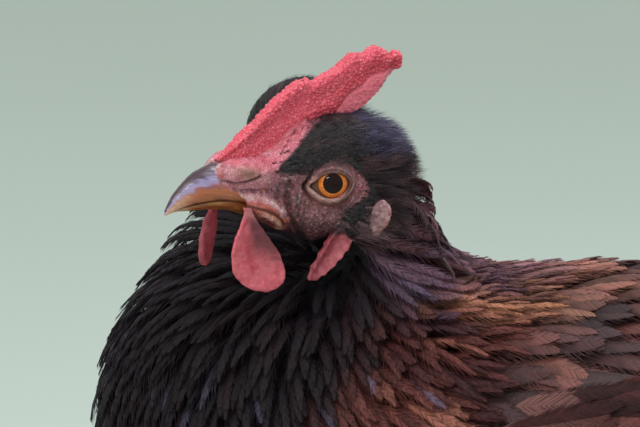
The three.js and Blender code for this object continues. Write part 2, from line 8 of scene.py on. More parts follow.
import bmesh
import bpy
import numpy as np
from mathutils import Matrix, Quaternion, Vector, noise
from mathutils.kdtree import KDTree

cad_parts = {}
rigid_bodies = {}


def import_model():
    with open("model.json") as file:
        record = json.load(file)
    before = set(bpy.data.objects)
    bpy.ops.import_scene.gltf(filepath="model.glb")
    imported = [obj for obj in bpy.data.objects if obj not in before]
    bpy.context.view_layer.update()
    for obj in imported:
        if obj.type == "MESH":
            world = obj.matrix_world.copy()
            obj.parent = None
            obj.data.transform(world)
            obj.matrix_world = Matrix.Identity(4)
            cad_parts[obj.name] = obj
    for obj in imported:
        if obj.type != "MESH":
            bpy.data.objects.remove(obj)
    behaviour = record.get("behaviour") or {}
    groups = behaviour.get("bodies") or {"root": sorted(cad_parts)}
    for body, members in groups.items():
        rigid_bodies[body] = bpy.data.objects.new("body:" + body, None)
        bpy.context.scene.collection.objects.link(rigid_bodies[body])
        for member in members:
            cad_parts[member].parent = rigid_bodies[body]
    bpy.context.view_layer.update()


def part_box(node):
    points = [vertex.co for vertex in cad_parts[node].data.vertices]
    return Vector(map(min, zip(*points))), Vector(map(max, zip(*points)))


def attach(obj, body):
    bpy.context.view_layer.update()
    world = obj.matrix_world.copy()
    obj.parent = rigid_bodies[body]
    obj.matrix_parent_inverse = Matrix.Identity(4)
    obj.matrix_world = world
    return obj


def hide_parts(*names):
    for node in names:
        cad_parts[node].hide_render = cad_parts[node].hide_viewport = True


MM = 0.001
SIDES = {"left": 1, "right": -1}
SEED = 11

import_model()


# ---------- small helpers ----------

def mix(a, b, t):
    return a + (b - a) * t


def smooth(low, high, x):
    """0 below low, 1 above high, and a soft step between; low may be the larger."""
    t = np.clip((x - low) / (high - low), 0, 1)
    return t * t * (3 - 2 * t)


def bump(x, at, width):
    return np.exp(-(((x - at) / width) ** 2))


def unit(v):
    return v / np.maximum(np.linalg.norm(v, axis=-1, keepdims=True), 1e-9)


def dot(a, b):
    return np.sum(a * b, axis=-1)


def full_turn(count):
    """Angles at even steps once round."""
    return np.linspace(0, 2 * math.pi, count, endpoint=False)


def curve_through(points, t):
    """Points of a smooth curve through the given rows, at t from 0 to 1."""
    points = np.asarray(points, float)
    t = np.asarray(t, float) * (len(points) - 1)
    i = np.clip(t.astype(int), 0, len(points) - 2)
    f = (t - i)[..., None]
    padded = np.vstack([2 * points[0] - points[1], points, 2 * points[-1] - points[-2]])
    p0, p1, p2, p3 = (padded[i + k] for k in range(4))
    return 0.5 * (2 * p1 + (p2 - p0) * f + (2 * p0 - 5 * p1 + 4 * p2 - p3) * f**2
                  + (3 * p1 - p0 - 3 * p2 + p3) * f**3)


def rough_noise(points, size, octaves=3):
    """Smooth noise from -1 to 1 at each point, with features of the given size."""
    return np.array([noise.fractal(Vector(p / size), 0.9, 2.0, octaves) for p in points])


def pebbles(points, size):
    """Height of rounded pebbles of the given size, 0 in the clefts and 1 on their tops."""
    near = np.array([noise.voronoi(Vector(p / size))[0][:2] for p in points])
    return smooth(0, 0.55, near[:, 1] - near[:, 0])


# ---------- meshes ----------

def soften(mesh):
    mesh.polygons.foreach_set("use_smooth", np.ones(len(mesh.polygons), bool))


def mesh_of(name, points, faces):
    mesh = bpy.data.meshes.new(name)
    mesh.from_pydata((np.asarray(points) * MM).tolist(), [], faces)
    soften(mesh)
    mesh.update()
    return mesh


def object_of(name, mesh):
    piece = bpy.data.objects.new(name, mesh)
    bpy.context.scene.collection.objects.link(piece)
    return piece


def evaluated_mesh(piece):
    """A new mesh of a piece with its modifiers applied."""
    return bpy.data.meshes.new_from_object(piece.evaluated_get(bpy.context.evaluated_depsgraph_get()))


def grid_faces(rows, columns, closed=False):
    """Faces of a grid of rows of points; closed joins the last column to the first."""
    faces = []
    for i in range(rows - 1):
        for j in range(columns if closed else columns - 1):
            k = (j + 1) % columns
            faces.append((i * columns + j, i * columns + k, (i + 1) * columns + k, (i + 1) * columns + j))
    return faces


def tube_mesh(name, rings):
    """A closed mesh from rings of points, all with the same count, capped at both ends."""
    rings = np.asarray(rings, float)
    rows, columns = rings.shape[:2]
    faces = grid_faces(rows, columns, closed=True)
    points = np.vstack([rings.reshape(-1, 3), rings[0].mean(0), rings[-1].mean(0)])
    first, last = rows * columns, rows * columns + 1
    for j in range(columns):
        k = (j + 1) % columns
        faces.append((first, k, j))
        faces.append((last, (rows - 1) * columns + j, (rows - 1) * columns + k))
    mesh = mesh_of(name, points, faces)
    outward(mesh)
    return mesh


def outward(mesh):
    """Turns a closed mesh's faces outwards."""
    work = bmesh.new()
    work.from_mesh(mesh)
    bmesh.ops.remove_doubles(work, verts=work.verts, dist=1e-7)
    bmesh.ops.recalc_face_normals(work, faces=work.faces)
    if work.calc_volume(signed=True) < 0:
        bmesh.ops.reverse_faces(work, faces=work.faces)
    work.to_mesh(mesh)
    work.free()


def read_points(mesh, field):
    flat = np.empty(len(mesh.vertices) * 3, np.float32)
    mesh.vertices.foreach_get(field, flat)
    return flat.reshape(-1, 3).astype(float)


def places(mesh):
    """A mesh's points, in millimetres."""
    return read_points(mesh, "co") / MM


def store(mesh, name, values):
    """Keeps a number or a vector for each point of a mesh under a name."""
    values = np.asarray(values, np.float32)
    kind, field = ("FLOAT", "value") if values.ndim == 1 else ("FLOAT_VECTOR", "vector")
    mesh.attributes.new(name, kind, "POINT").data.foreach_set(field, values.ravel())


def store_colour(mesh, colours, name="paint"):
    rgba = np.ones((len(colours), 4), np.float32)
    rgba[:, :3] = np.clip(colours, 0, 1)
    mesh.attributes.new(name, "FLOAT_COLOR", "POINT").data.foreach_set("color", rgba.ravel())


def tree_of(spots):
    """A search tree of the places in a list."""
    tree = KDTree(len(spots))
    for i, spot in enumerate(spots):
        tree.insert(spot, i)
    tree.balance()
    return tree


def finished(piece, finish, slot, *replaced):
    """Gives a piece its material, hides the nodes it stands for, and lets it ride on the hen."""
    piece.data.materials.clear()
    piece.data.materials.append(finish)
    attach(piece, "root")
    if replaced:
        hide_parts(*replaced)
    return piece


def add_piece(mesh, paint, finish, slot, *replaced):
    """Paints a mesh and adds it to the hen, as a piece with the mesh's name."""
    store_colour(mesh, paint)
    finished(object_of(mesh.name, mesh), finish, slot, *replaced)


# ---------- where the head is: worked out from the frame's eyes ----------

HEAD_PITCH = math.radians(6)
EYE_SEAT = np.array([9.2, 2.7, -0.3])  # the left eyeball's middle in the head's own axes


def middle_of(node):
    low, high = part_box(node)
    return np.array((low + high) / 2) / MM


def head_axes():
    """The head's own axes as columns: to its left, to its back and up."""
    across = unit(middle_of("eye_left") - middle_of("eye_right"))
    level = unit(np.cross(across, (0, 0, 1)))
    upright = unit(np.cross(level, across))
    turn = math.asin(math.sin(HEAD_PITCH) / upright[2])
    ahead = level * math.cos(turn) + upright * math.sin(turn)
    return np.column_stack([across, -ahead, np.cross(ahead, across)])


HEAD = head_axes()
HEAD_AT = (middle_of("eye_left") + middle_of("eye_right")) / 2 - HEAD @ (EYE_SEAT * (0, 1, 1))


def from_head(points):
    return np.asarray(points, float) @ HEAD.T + HEAD_AT


def to_head(points):
    return (np.asarray(points, float) - HEAD_AT) @ HEAD


# ---------- rounded forms: ellipsoids blended into one another ----------

def blob(centre, radii, tilt=0.0):
    """Distance to an ellipsoid, tilted about the axis across."""
    s, c = math.sin(math.radians(tilt)), math.cos(math.radians(tilt))
    centre, radii = np.array(centre, float), np.array(radii, float)

    def distance(p):
        d = p - centre
        local = np.stack([d[:, 0], d[:, 1] * c + d[:, 2] * s, d[:, 2] * c - d[:, 1] * s], 1)
        scaled = np.linalg.norm(local / radii, axis=1)
        slope = np.linalg.norm(local / radii**2, axis=1)
        return scaled * (scaled - 1) / np.maximum(slope, 1e-6)

    return distance


def blended(forms, softness):
    def distance(p):
        nearest = forms[0](p)
        for form in forms[1:]:
            d = form(p)
            overlap = np.maximum(softness - np.abs(nearest - d), 0)
            nearest = np.minimum(nearest, d) - overlap**2 / (4 * softness)
        return nearest

    return distance


def outward_of(form, points, step=0.3):
    """The direction straight out of a form at each point."""
    slope = [form(points + step * axis) - form(points - step * axis) for axis in np.eye(3)]
    return unit(np.stack(slope, 1))


def onto(form, points, height=0.0, rounds=4):
    """Points moved straight onto a form's surface, or to a height over it."""
    for _ in range(rounds):
        points = points - outward_of(form, points) * (form(points) - height)[:, None]
    return points


def sphere_directions(level):
    work = bmesh.new()
    bmesh.ops.create_icosphere(work, subdivisions=level, radius=1)
    directions = np.array([v.co for v in work.verts], float)
    faces = [tuple(v.index for v in f.verts) for f in work.faces]
    work.free()
    return directions, faces


def drawn_out(form, centre, stretch, level, limit):
    """A ball of triangles drawn out to a form's surface from a point inside it."""
    directions, faces = sphere_directions(level)
    directions = unit(directions * stretch)
    reach = np.zeros(len(directions))
    moving = np.ones(len(directions), bool)
    for _ in range(240):
        d = form(centre + directions[moving] * reach[moving, None])
        reach[moving] = np.minimum(reach[moving] + np.maximum(-d * 0.6, 0.05) * (d < -0.02), limit)
        still = np.zeros(len(moving), bool)
        still[moving] = (d < -0.02) & (reach[moving] < limit)
        moving = still
        if not moving.any():
            break
    return centre + directions * reach[:, None], faces


# ---------- body forms ----------

BREAST_Y, RUMP_Y, BACK_Z, BELLY_Z, HALF_WIDTH = -182, 77, 272, 112, 74
TAIL_AT = np.array([0, 75, 246])
COAT = 7  # how deep the skin lies under the feathers' outline on the body
COAT_NECK = 9
COAT_HEAD = 1.6

TRUNK = [
    blob((0, BREAST_Y + 73, 198), (62, 73, 74)),
    blob((0, -48, 194), (70, 92, 72)),
    blob((0, -27, 226), (56, 92, BACK_Z - 227)),
    blob((0, -37, BELLY_Z + 50), (58, 70, 50)),
    blob((0, RUMP_Y - 52, 211), (56, 54, 46), 6),
    blob((0, RUMP_Y - 60, 182), (48, 46, 44), 30),
    blob((HALF_WIDTH - 38, -77, 214), (38, 62, 46)),
    blob((38 - HALF_WIDTH, -77, 214), (38, 62, 46)),
    blob(TAIL_AT + (0, -18, 1), (29, 40, 23), 30),
]
NECK = [
    blob((0, BREAST_Y + 56, 242), (50, 50, 42)),
    blob((-11, -125, 268), (27, 35, 30)),
    blob((9, -105, 264), (28, 25, 24)),
    blob((19, -101, 286), (14, 17, 34)),
]
HEAD_FORMS = [
    blob((0, 6, 2), (13.4, 21, 15), 8),
    blob((0, -2, -6.5), (11, 15, 9), -8),
    blob((0, -13, -1.5), (7.2, 14.5, 7), -10),
    blob((-7.2, -0.5, 11.4), (6.8, 15.5, 13.2), 14),
    blob((6, 5, 9), (6, 12, 8), 8),
    blob((0, 3.5, -9.5), (11.6, 11.5, 9.4)),
    blob((0, -9.5, -10.6), (6.9, 8.5, 3.6), -22),
]
for s in SIDES.values():
    HEAD_FORMS += [
        blob((s * 9.4, 13.5, -8), (5.6, 8, 8.8), 10),
        blob((s * 7, -14.5, -9.6), (2.4, 6.5, 1.7), -18),
        blob((s * 4.6, -21, 1.6), (2, 4.4, 1.8), -8),
        blob((s * 3.3, -23.2, -1.7), (2.5, 6.4, 3.5), -14),
    ]
body_form = blended([blended(TRUNK, 22), blended(NECK, 12)], 22)
face_form = blended(HEAD_FORMS, 4)


def head_form(p):
    return face_form(to_head(p))


def coat_depth(p):
    """How deep the skin lies under the outline: less on the neck's thin top."""
    return mix(COAT, COAT_NECK, smooth(190, 240, p[:, 2]))


def flesh_form(p):
    return body_form(p) + coat_depth(p)


THIGH_TOP, THIGH_FOOT = 21, 4.5  # a bare drumstick's radius at its top and over the hock


def thigh_radius(t):
    return mix(THIGH_TOP, THIGH_FOOT, smooth(0.05, 1.0, t))


def thigh_ends(side):
    """A thigh's top and its foot at the hock, from the frame's own boxes."""
    low, high = (np.array(corner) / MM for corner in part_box(f"thigh_{side}"))
    return (np.array([(low[0] + high[0]) / 2, low[1] + 31, high[2] - 4]),
            np.array([middle_of(f"shank_{side}")[0] - SIDES[side] * 3.2, high[1] - 7, low[2] + 4]))


def thigh_form(p, thicker=0.0):
    """Distance to the nearer drumstick, a cone that thins to the hock."""
    nearest = np.full(len(p), 1e3)
    for side in SIDES:
        top, foot = thigh_ends(side)
        t = np.clip((p - top) @ (foot - top) / dot(foot - top, foot - top), 0, 1)
        away = np.linalg.norm(p - top - t[:, None] * (foot - top), axis=1)
        nearest = np.minimum(nearest, away - thigh_radius(t) - thicker * mix(1.6, 0.5, t))
    return nearest


lie_form = blended([head_form, flesh_form, thigh_form], 8)  # what the feathers grow from


# ---------- finishes: node helpers ----------

def feed(tree, socket, value):
    """Links an input to another node's output, or sets its constant."""
    if isinstance(value, bpy.types.NodeSocket):
        tree.links.new(value, socket)
    elif isinstance(value, tuple) and len(value) == 3 and socket.type == "RGBA":
        socket.default_value = (*value, 1)
    else:
        socket.default_value = value


def add_node(tree, kind, settings, inputs):
    """A node with its settings and inputs; i0, i1 and so on stand for inputs by their number."""
    made = tree.nodes.new(kind)
    for key, value in dict(settings).items():
        setattr(made, key, value)
    for key, value in inputs.items():
        feed(tree, made.inputs[int(key[1:]) if key[1:].isdigit() else key.replace("_", " ")], value)
    return made


class Finish:
    """A material under construction: its nodes, and links made by short calls."""

    def __init__(self, name):
        self.material = bpy.data.materials.new(name)
        self.material.use_nodes = True
        self.tree = self.material.node_tree
        self.shader = self.tree.nodes["Principled BSDF"]

    def node(self, kind, settings=(), **inputs):
        return add_node(self.tree, kind, settings, inputs)

    def set(self, **inputs):
        for key, value in inputs.items():
            feed(self.tree, self.shader.inputs[key.replace("_", " ")], value)

    def attribute(self, name, output="Color"):
        return self.node("ShaderNodeAttribute", {"attribute_name": name}).outputs[output]

    def place(self, size=(1, 1, 1)):
        """Object coordinates in millimetres, divided by a size."""
        place = self.node("ShaderNodeTexCoord").outputs["Object"]
        scale = tuple(1 / (MM * s) for s in size)
        return self.node("ShaderNodeMapping", i0=place, i3=scale).outputs[0]

    def noise(self, vector, detail=3.0, roughness=0.55):
        made = self.node("ShaderNodeTexNoise", Vector=vector, Scale=1.0, Detail=detail, Roughness=roughness)
        return made.outputs[0]

    def cells(self, vector, feature="F1"):
        made = self.node("ShaderNodeTexVoronoi", {"feature": feature}, Vector=vector, Scale=1.0)
        return made.outputs["Distance"]

    def math(self, operation, a, b=0.0, c=0.0):
        return self.node("ShaderNodeMath", {"operation": operation}, i0=a, i1=b, i2=c).outputs[0]

    def ramp(self, value, low, high, start=0.0, end=1.0):
        return self.node("ShaderNodeMapRange", {"interpolation_type": "SMOOTHSTEP"},
                         i0=value, i1=low, i2=high, i3=start, i4=end).outputs[0]

    def blend(self, factor, a, b, mode="MIX"):
        settings = {"data_type": "RGBA", "blend_type": mode, "clamp_factor": True}
        return self.node("ShaderNodeMix", settings, i0=factor, i6=a, i7=b).outputs[2]

    def relief(self, height, depth, strength=1.0, over=None):
        """A bump of a depth in millimetres, over another one if given."""
        made = self.node("ShaderNodeBump", Height=height, Strength=strength, Distance=depth * MM)
        if over is not None:
            feed(self.tree, made.inputs["Normal"], over)
        return made.outputs[0]


def bare_skin_finish():
    """Thin living skin: painted zones, crepe folds finer than the mesh with painted shade in their creases, a
    moist sheen.
    """
    f = Finish("bare_skin")
    crepe = f.cells(f.place((0.6, 0.6, 0.9)), "DISTANCE_TO_EDGE")
    pores = f.noise(f.place((0.35, 0.35, 0.35)), 2.0)
    blotch = f.noise(f.place((1.8, 1.8, 1.8)), 4.0)
    paint = f.attribute("paint")
    deeper = f.blend(1.0, paint, (0.62, 0.34, 0.38), "MULTIPLY")
    paint = f.blend(f.ramp(blotch, 0.42, 0.66, 0.0, 0.7), paint, deeper)
    # painted shade: darker along the crepe folds' creases, where their relief is lowest
    crease_shade = f.blend(1.0, paint, (0.4, 0.22, 0.25), "MULTIPLY")
    paint = f.blend(f.ramp(crepe, 0.0, 0.14, 0.6, 0.0), paint, crease_shade)
    lower = f.relief(f.ramp(crepe, 0.0, 0.25), 0.15, 0.8)
    f.set(Base_Color=paint, Normal=f.relief(pores, 0.08, 0.5, lower), Roughness=0.46, Specular_IOR_Level=0.4,
          Subsurface_Weight=0.12, Subsurface_Radius=(0.9, 0.35, 0.25), Subsurface_Scale=0.0010)
    return f.material


def comb_finish():
    """Pebbled flesh: painted shade, deeper and more saturated, in the clefts and a painted highlight, paler,
    on the tops, with tiny wet lights.
    """
    f = Finish("comb_flesh")
    paint = f.attribute("paint")
    grain = f.cells(f.place((0.72, 0.72, 0.72)))
    band = f.attribute("pebbled", "Fac")
    # painted shade in the clefts between the pebbles
    cleft_shade = f.math("MULTIPLY", band, f.ramp(grain, 0.28, 0.62, 0.0, 0.6))
    paint = f.blend(cleft_shade, paint, (0.50, 0.022, 0.045))
    # painted highlight on the pebbles' tops
    top_highlight = f.math("MULTIPLY", f.math("ADD", band, 0.15), f.ramp(grain, 0.34, 0.05, 0.0, 0.55))
    paint = f.blend(top_highlight, paint, (0.98, 0.36, 0.41))
    f.set(Base_Color=paint, Normal=f.relief(f.ramp(grain, 0.6, 0.0), 0.18, 0.8), Roughness=0.36,
          Subsurface_Weight=0.15, Subsurface_Radius=(1.4, 0.35, 0.3), Subsurface_Scale=0.0010)
    return f.material


def wattle_finish():
    f = Finish("wattle_flesh")
    paint = f.attribute("paint")
    grain = f.noise(f.place((0.5, 0.5, 0.5)), 3.0)
    mottle = f.noise(f.place((1.6, 1.6, 2.2)), 3.0)
    deeper = f.blend(1.0, paint, (0.7, 0.3, 0.4), "MULTIPLY")
    paint = f.blend(f.ramp(mottle, 0.4, 0.66, 0.0, 0.5), paint, deeper)
    f.set(Base_Color=paint, Normal=f.relief(grain, 0.15, 0.7), Roughness=0.48,
          Subsurface_Weight=0.15, Subsurface_Radius=(1.2, 0.35, 0.3), Subsurface_Scale=0.0010)
    return f.material


def horn_finish():
    """The bill: painted slate, rust and straw in growth lines, worn smooth."""
    f = Finish("bill_horn")
    paint = f.attribute("paint")
    lines = f.noise(f.place((2.4, 2.4, 0.5)), 4.0, 0.6)
    paint = f.blend(f.ramp(lines, 0.35, 0.75, 0.0, 0.35), paint, (0.10, 0.03, 0.02))
    f.set(Base_Color=paint, Normal=f.relief(lines, 0.08, 0.35), Roughness=0.3, Specular_IOR_Level=0.4,
          Coat_Weight=0.15, Coat_Roughness=0.15)
    return f.material


def eye_finish():
    """The eyeball under its wet clear front: pupil, iris with fine spokes, dark rim and brown white."""
    f = Finish("eye_ball")
    fleck = f.noise(f.place((0.25, 0.25, 0.25)), 2.0)
    paint = f.blend(f.ramp(fleck, 0.4, 0.7, 0.0, 0.3), f.attribute("paint"), (0.10, 0.02, 0.005))
    f.set(Base_Color=paint, Roughness=0.6, Specular_IOR_Level=0.0, Coat_Weight=0.25, Coat_Roughness=0.03)
    return f.material


# ---------- skin ----------

def thigh_flesh(side):
    """A drumstick inside the thigh's feathers."""
    top, foot = thigh_ends(side)
    angle = full_turn(24)
    around = np.stack([np.cos(angle), np.sin(angle), 0 * angle], 1)
    rings = [mix(top, foot, t) + thigh_radius(t) * around for t in np.linspace(0, 1, 15)]
    return tube_mesh("thigh_flesh", rings)


EYE_AIM = unit(np.array([0.90, -0.40, 0.17]))  # where the left eye looks, in the head's own axes
EYE_BACK = unit(np.cross((0, 0, 1), EYE_AIM))  # across the opening, towards its rear corner
EYE_UP = np.cross(EYE_AIM, EYE_BACK)
EYE_RADIUS, IRIS_RADIUS, PUPIL_RADIUS = 7.2, 4.15, 2.75
EYE_WHITE = (0.10, 0.062, 0.05)  # brown in a hen

# The opening between the lids: angle from the rear corner over the top, and distance from the pupil.
LID_OPENING = np.array([
    (9, 4.75), (23, 4.3), (47, 3.45), (79, 2.75), (114, 2.65), (149, 3.3), (178, 4.4), (195, 6.4),
    (202, 5.7), (218, 4.95), (246, 4.35), (280, 4.0), (313, 3.85), (343, 4.1)])


def lid_edge(angle):
    spread = [np.interp(np.degrees(angle) + turn, *LID_OPENING.T, period=360) for turn in (-6, -3, 0, 3, 6)]
    return np.mean(spread, axis=0)


def left_side(local):
    """Head points with the right side folded onto the left."""
    folded = local.copy()
    folded[:, 0] = np.abs(folded[:, 0])
    return folded


def eye_polar(folded):
    """Angle about the left eye's line of sight, distance from it, and distance past the lids' edge."""
    d = folded - EYE_SEAT
    back, up = dot(d, EYE_BACK), dot(d, EYE_UP)
    angle, away = np.arctan2(up, back), np.hypot(up, back)
    return angle, away, np.where(folded[:, 0] > 3, away - lid_edge(angle), 20.0)


def turned_from(angle, degrees):
    """How far an angle is from one given in degrees, in degrees."""
    return np.abs((np.degrees(angle) - degrees + 180) % 360 - 180)


def on_face(places, count=30):
    """A smooth line through places, laid on the face's surface."""
    return onto(face_form, curve_through(places, np.linspace(0, 1, count)))


NOSTRIL_SLIT = on_face([(3.4, -28, -1.4), (5.2, -24.6, -2.0), (5.8, -21.8, -1.2), (6.5, -18.3, 0.3)])
NOSTRIL_FOLD = on_face([(3.6, -24.2, -3.9), (5.4, -21.5, -3.8), (6.6, -17.5, -4.0), (7.4, -14.5, -3.8)])
HORN_BORDER = on_face([(2.2, -28.6, 2.0), (3, -28.3, -0.6), (4, -26.5, -3.9), (5.2, -22.3, -5.4),
                       (5.8, -18.4, -6.3), (6.6, -14.2, -7.7), (8.2, -10.8, -10.2)], 50)
MOUTH_LINE = [(-9.2, -13.0), (-10.6, -11.4), (-12.7, -9.9), (-15.4, -8.9), (-20.6, -7.9), (-26.6, -7.7)]


def from_line(points, line):
    """Each point's distance from a line of places."""
    tree = tree_of(line)
    return np.array([tree.find(p)[2] for p in points])


def cheek_crease(p):
    """Signed distance behind the upright crease between the snout and the cheek."""
    return p[:, 1] + 10.2 - 0.045 * np.minimum(p[:, 2] + 3, 0) ** 2


def over_mouth(y, z):
    """Height over the line of the mouth, near its corner."""
    back, up = np.array(MOUTH_LINE)[::-1].T
    return z - np.interp(y, back, up)


def under_horn_border(y, z):
    """How far a place lies below the skin's edge along the bill."""
    return np.interp(y, HORN_BORDER[:, 1], HORN_BORDER[:, 2]) - z


def comb_skin(side_view):
    """Share of comb-like flesh: the pink skin between the comb, the bill and the brow's feathers."""
    border = [(-34, 22), *COMB_SIDE, (-14.5, 2.0), (-18, 1.3), (-22, 2.6), (-27, 2.6), (-34, 4)]
    return smooth(0.7, -0.7, past_border(side_view, border))


def face_marks(p):
    """What the face's folds and its colours are both measured from, at points of the left side.

    These are the angle about the eye, the distance past the lids' edge, the run across the fine pleats,
    the distance behind the cheek's crease, the share behind the eye, the distances from the nostril's
    slit, its fold and the horn's border, and the height over the line of the mouth.
    """
    _, y, z = p.T
    angle, _, past = eye_polar(p)
    fan = y + z * 0.25 + rough_noise(p + 40, 5.0, 2) * 0.9 + 0.018 * z * z
    rear = smooth(75, 35, turned_from(angle, 8))
    slit, fold, rim = (from_line(p, line) for line in (NOSTRIL_SLIT, NOSTRIL_FOLD, HORN_BORDER))
    return angle, past, fan, cheek_crease(p), rear, slit, fold, rim, over_mouth(y, z)


PLEAT_STEP = 1.1  # from one fine pleat of the cheek to the next


def face_relief(local):
    """Height of the face's folds, in millimetres, at points in the head's own axes."""
    p = left_side(local)
    x, y, z = p.T
    _, past, fan, crease_at, rear, slit, fold, rim, mouth = face_marks(p)
    on_side = smooth(3, 7, x)
    crepe = rough_noise(p, 1.4, 3)
    # Fine upright pleats before and below the eye, bent round its lower edge.
    pleats = np.sin(fan * 2 * math.pi / PLEAT_STEP) + 0.6 * np.sin(fan * 2 * math.pi / 0.63 + 2)
    pleat_zone = bump(y, -7.0, 5.0) * smooth(4, -2, z) * smooth(-17, -9, z) * smooth(1.5, 3, past)
    below = smooth(1.5, -3, z) * smooth(-21, -17, z)
    crease = bump(crease_at, 0, 0.8) * below
    second = bump(crease_at, -2.4, 0.6) * below
    cheek_lump = bump(crease_at, 2.6, 2.2) * below
    # A fleshy roll behind the eye, with a groove inside it, and pebbled skin below.
    roll = rear * (0.7 * bump(past, 3.9, 1.1) - 0.55 * bump(past, 1.9, 0.7))
    socket = 3.0 * smooth(3.0, 1.4, past) * (x > 3)
    nostril = 0.8 * bump(z - 1.1, 0, 1.6) * bump(y, -22.5, 3.6) - 1.0 * bump(slit, 0, 0.42) * (x > 1) \
        - 0.7 * bump(fold, 0, 0.5)
    gape = smooth(-20, -14, y) * smooth(-6, -9.5, y) * (x > 4)
    corner = gape * (0.5 * bump(mouth, -1.5, 0.8) - 0.7 * bump(mouth, 0, 0.4) + 0.3 * bump(mouth, 1.0, 0.6))
    folds = 0.16 * crepe + 0.18 * pleats * pleat_zone - 1.1 * crease - 0.5 * second + 0.6 * cheek_lump + roll
    pebbled = (pebbles(p, 1.15) - 0.5) * smooth(2.0, 3.5, past) * smooth(-19, -13, y)
    pebbled = pebbled * (0.24 + 0.2 * bump(z, -9, 5) * smooth(-6, 0, y)) * (1 - 0.6 * pleat_zone)
    return on_side * (folds + pebbled - socket) + nostril * smooth(1, 3, x) + corner \
        + 0.5 * bump(rim, 0, 0.8) * smooth(0.5, 2.0, x)


FACE_PINK = (0.66, 0.28, 0.33)
FACE_BEIGE = (0.54, 0.30, 0.28)
FACE_MAUVE = (0.40, 0.16, 0.19)
FACE_RED = (0.58, 0.11, 0.14)
FACE_BROWN = (0.09, 0.03, 0.035)
FACE_PALE = (0.78, 0.50, 0.50)
LID_PALE = (0.50, 0.31, 0.27)
LID_DARK = (0.10, 0.045, 0.035)
COMB_PINK = (0.86, 0.30, 0.37)
RUST = (0.44, 0.12, 0.05)


def painted(points, base, *layers):
    """A colour for each point: a base, then colours laid over it by a share from 0 to 1."""
    colour = np.broadcast_to(np.array(base, float), (len(points), 3))
    for share, over in layers:
        colour = mix(colour, np.array(over), np.clip(share, 0, 1)[:, None])
    return colour


def on_lower_lid(angle):
    return smooth(100, 60, turned_from(angle, 250))


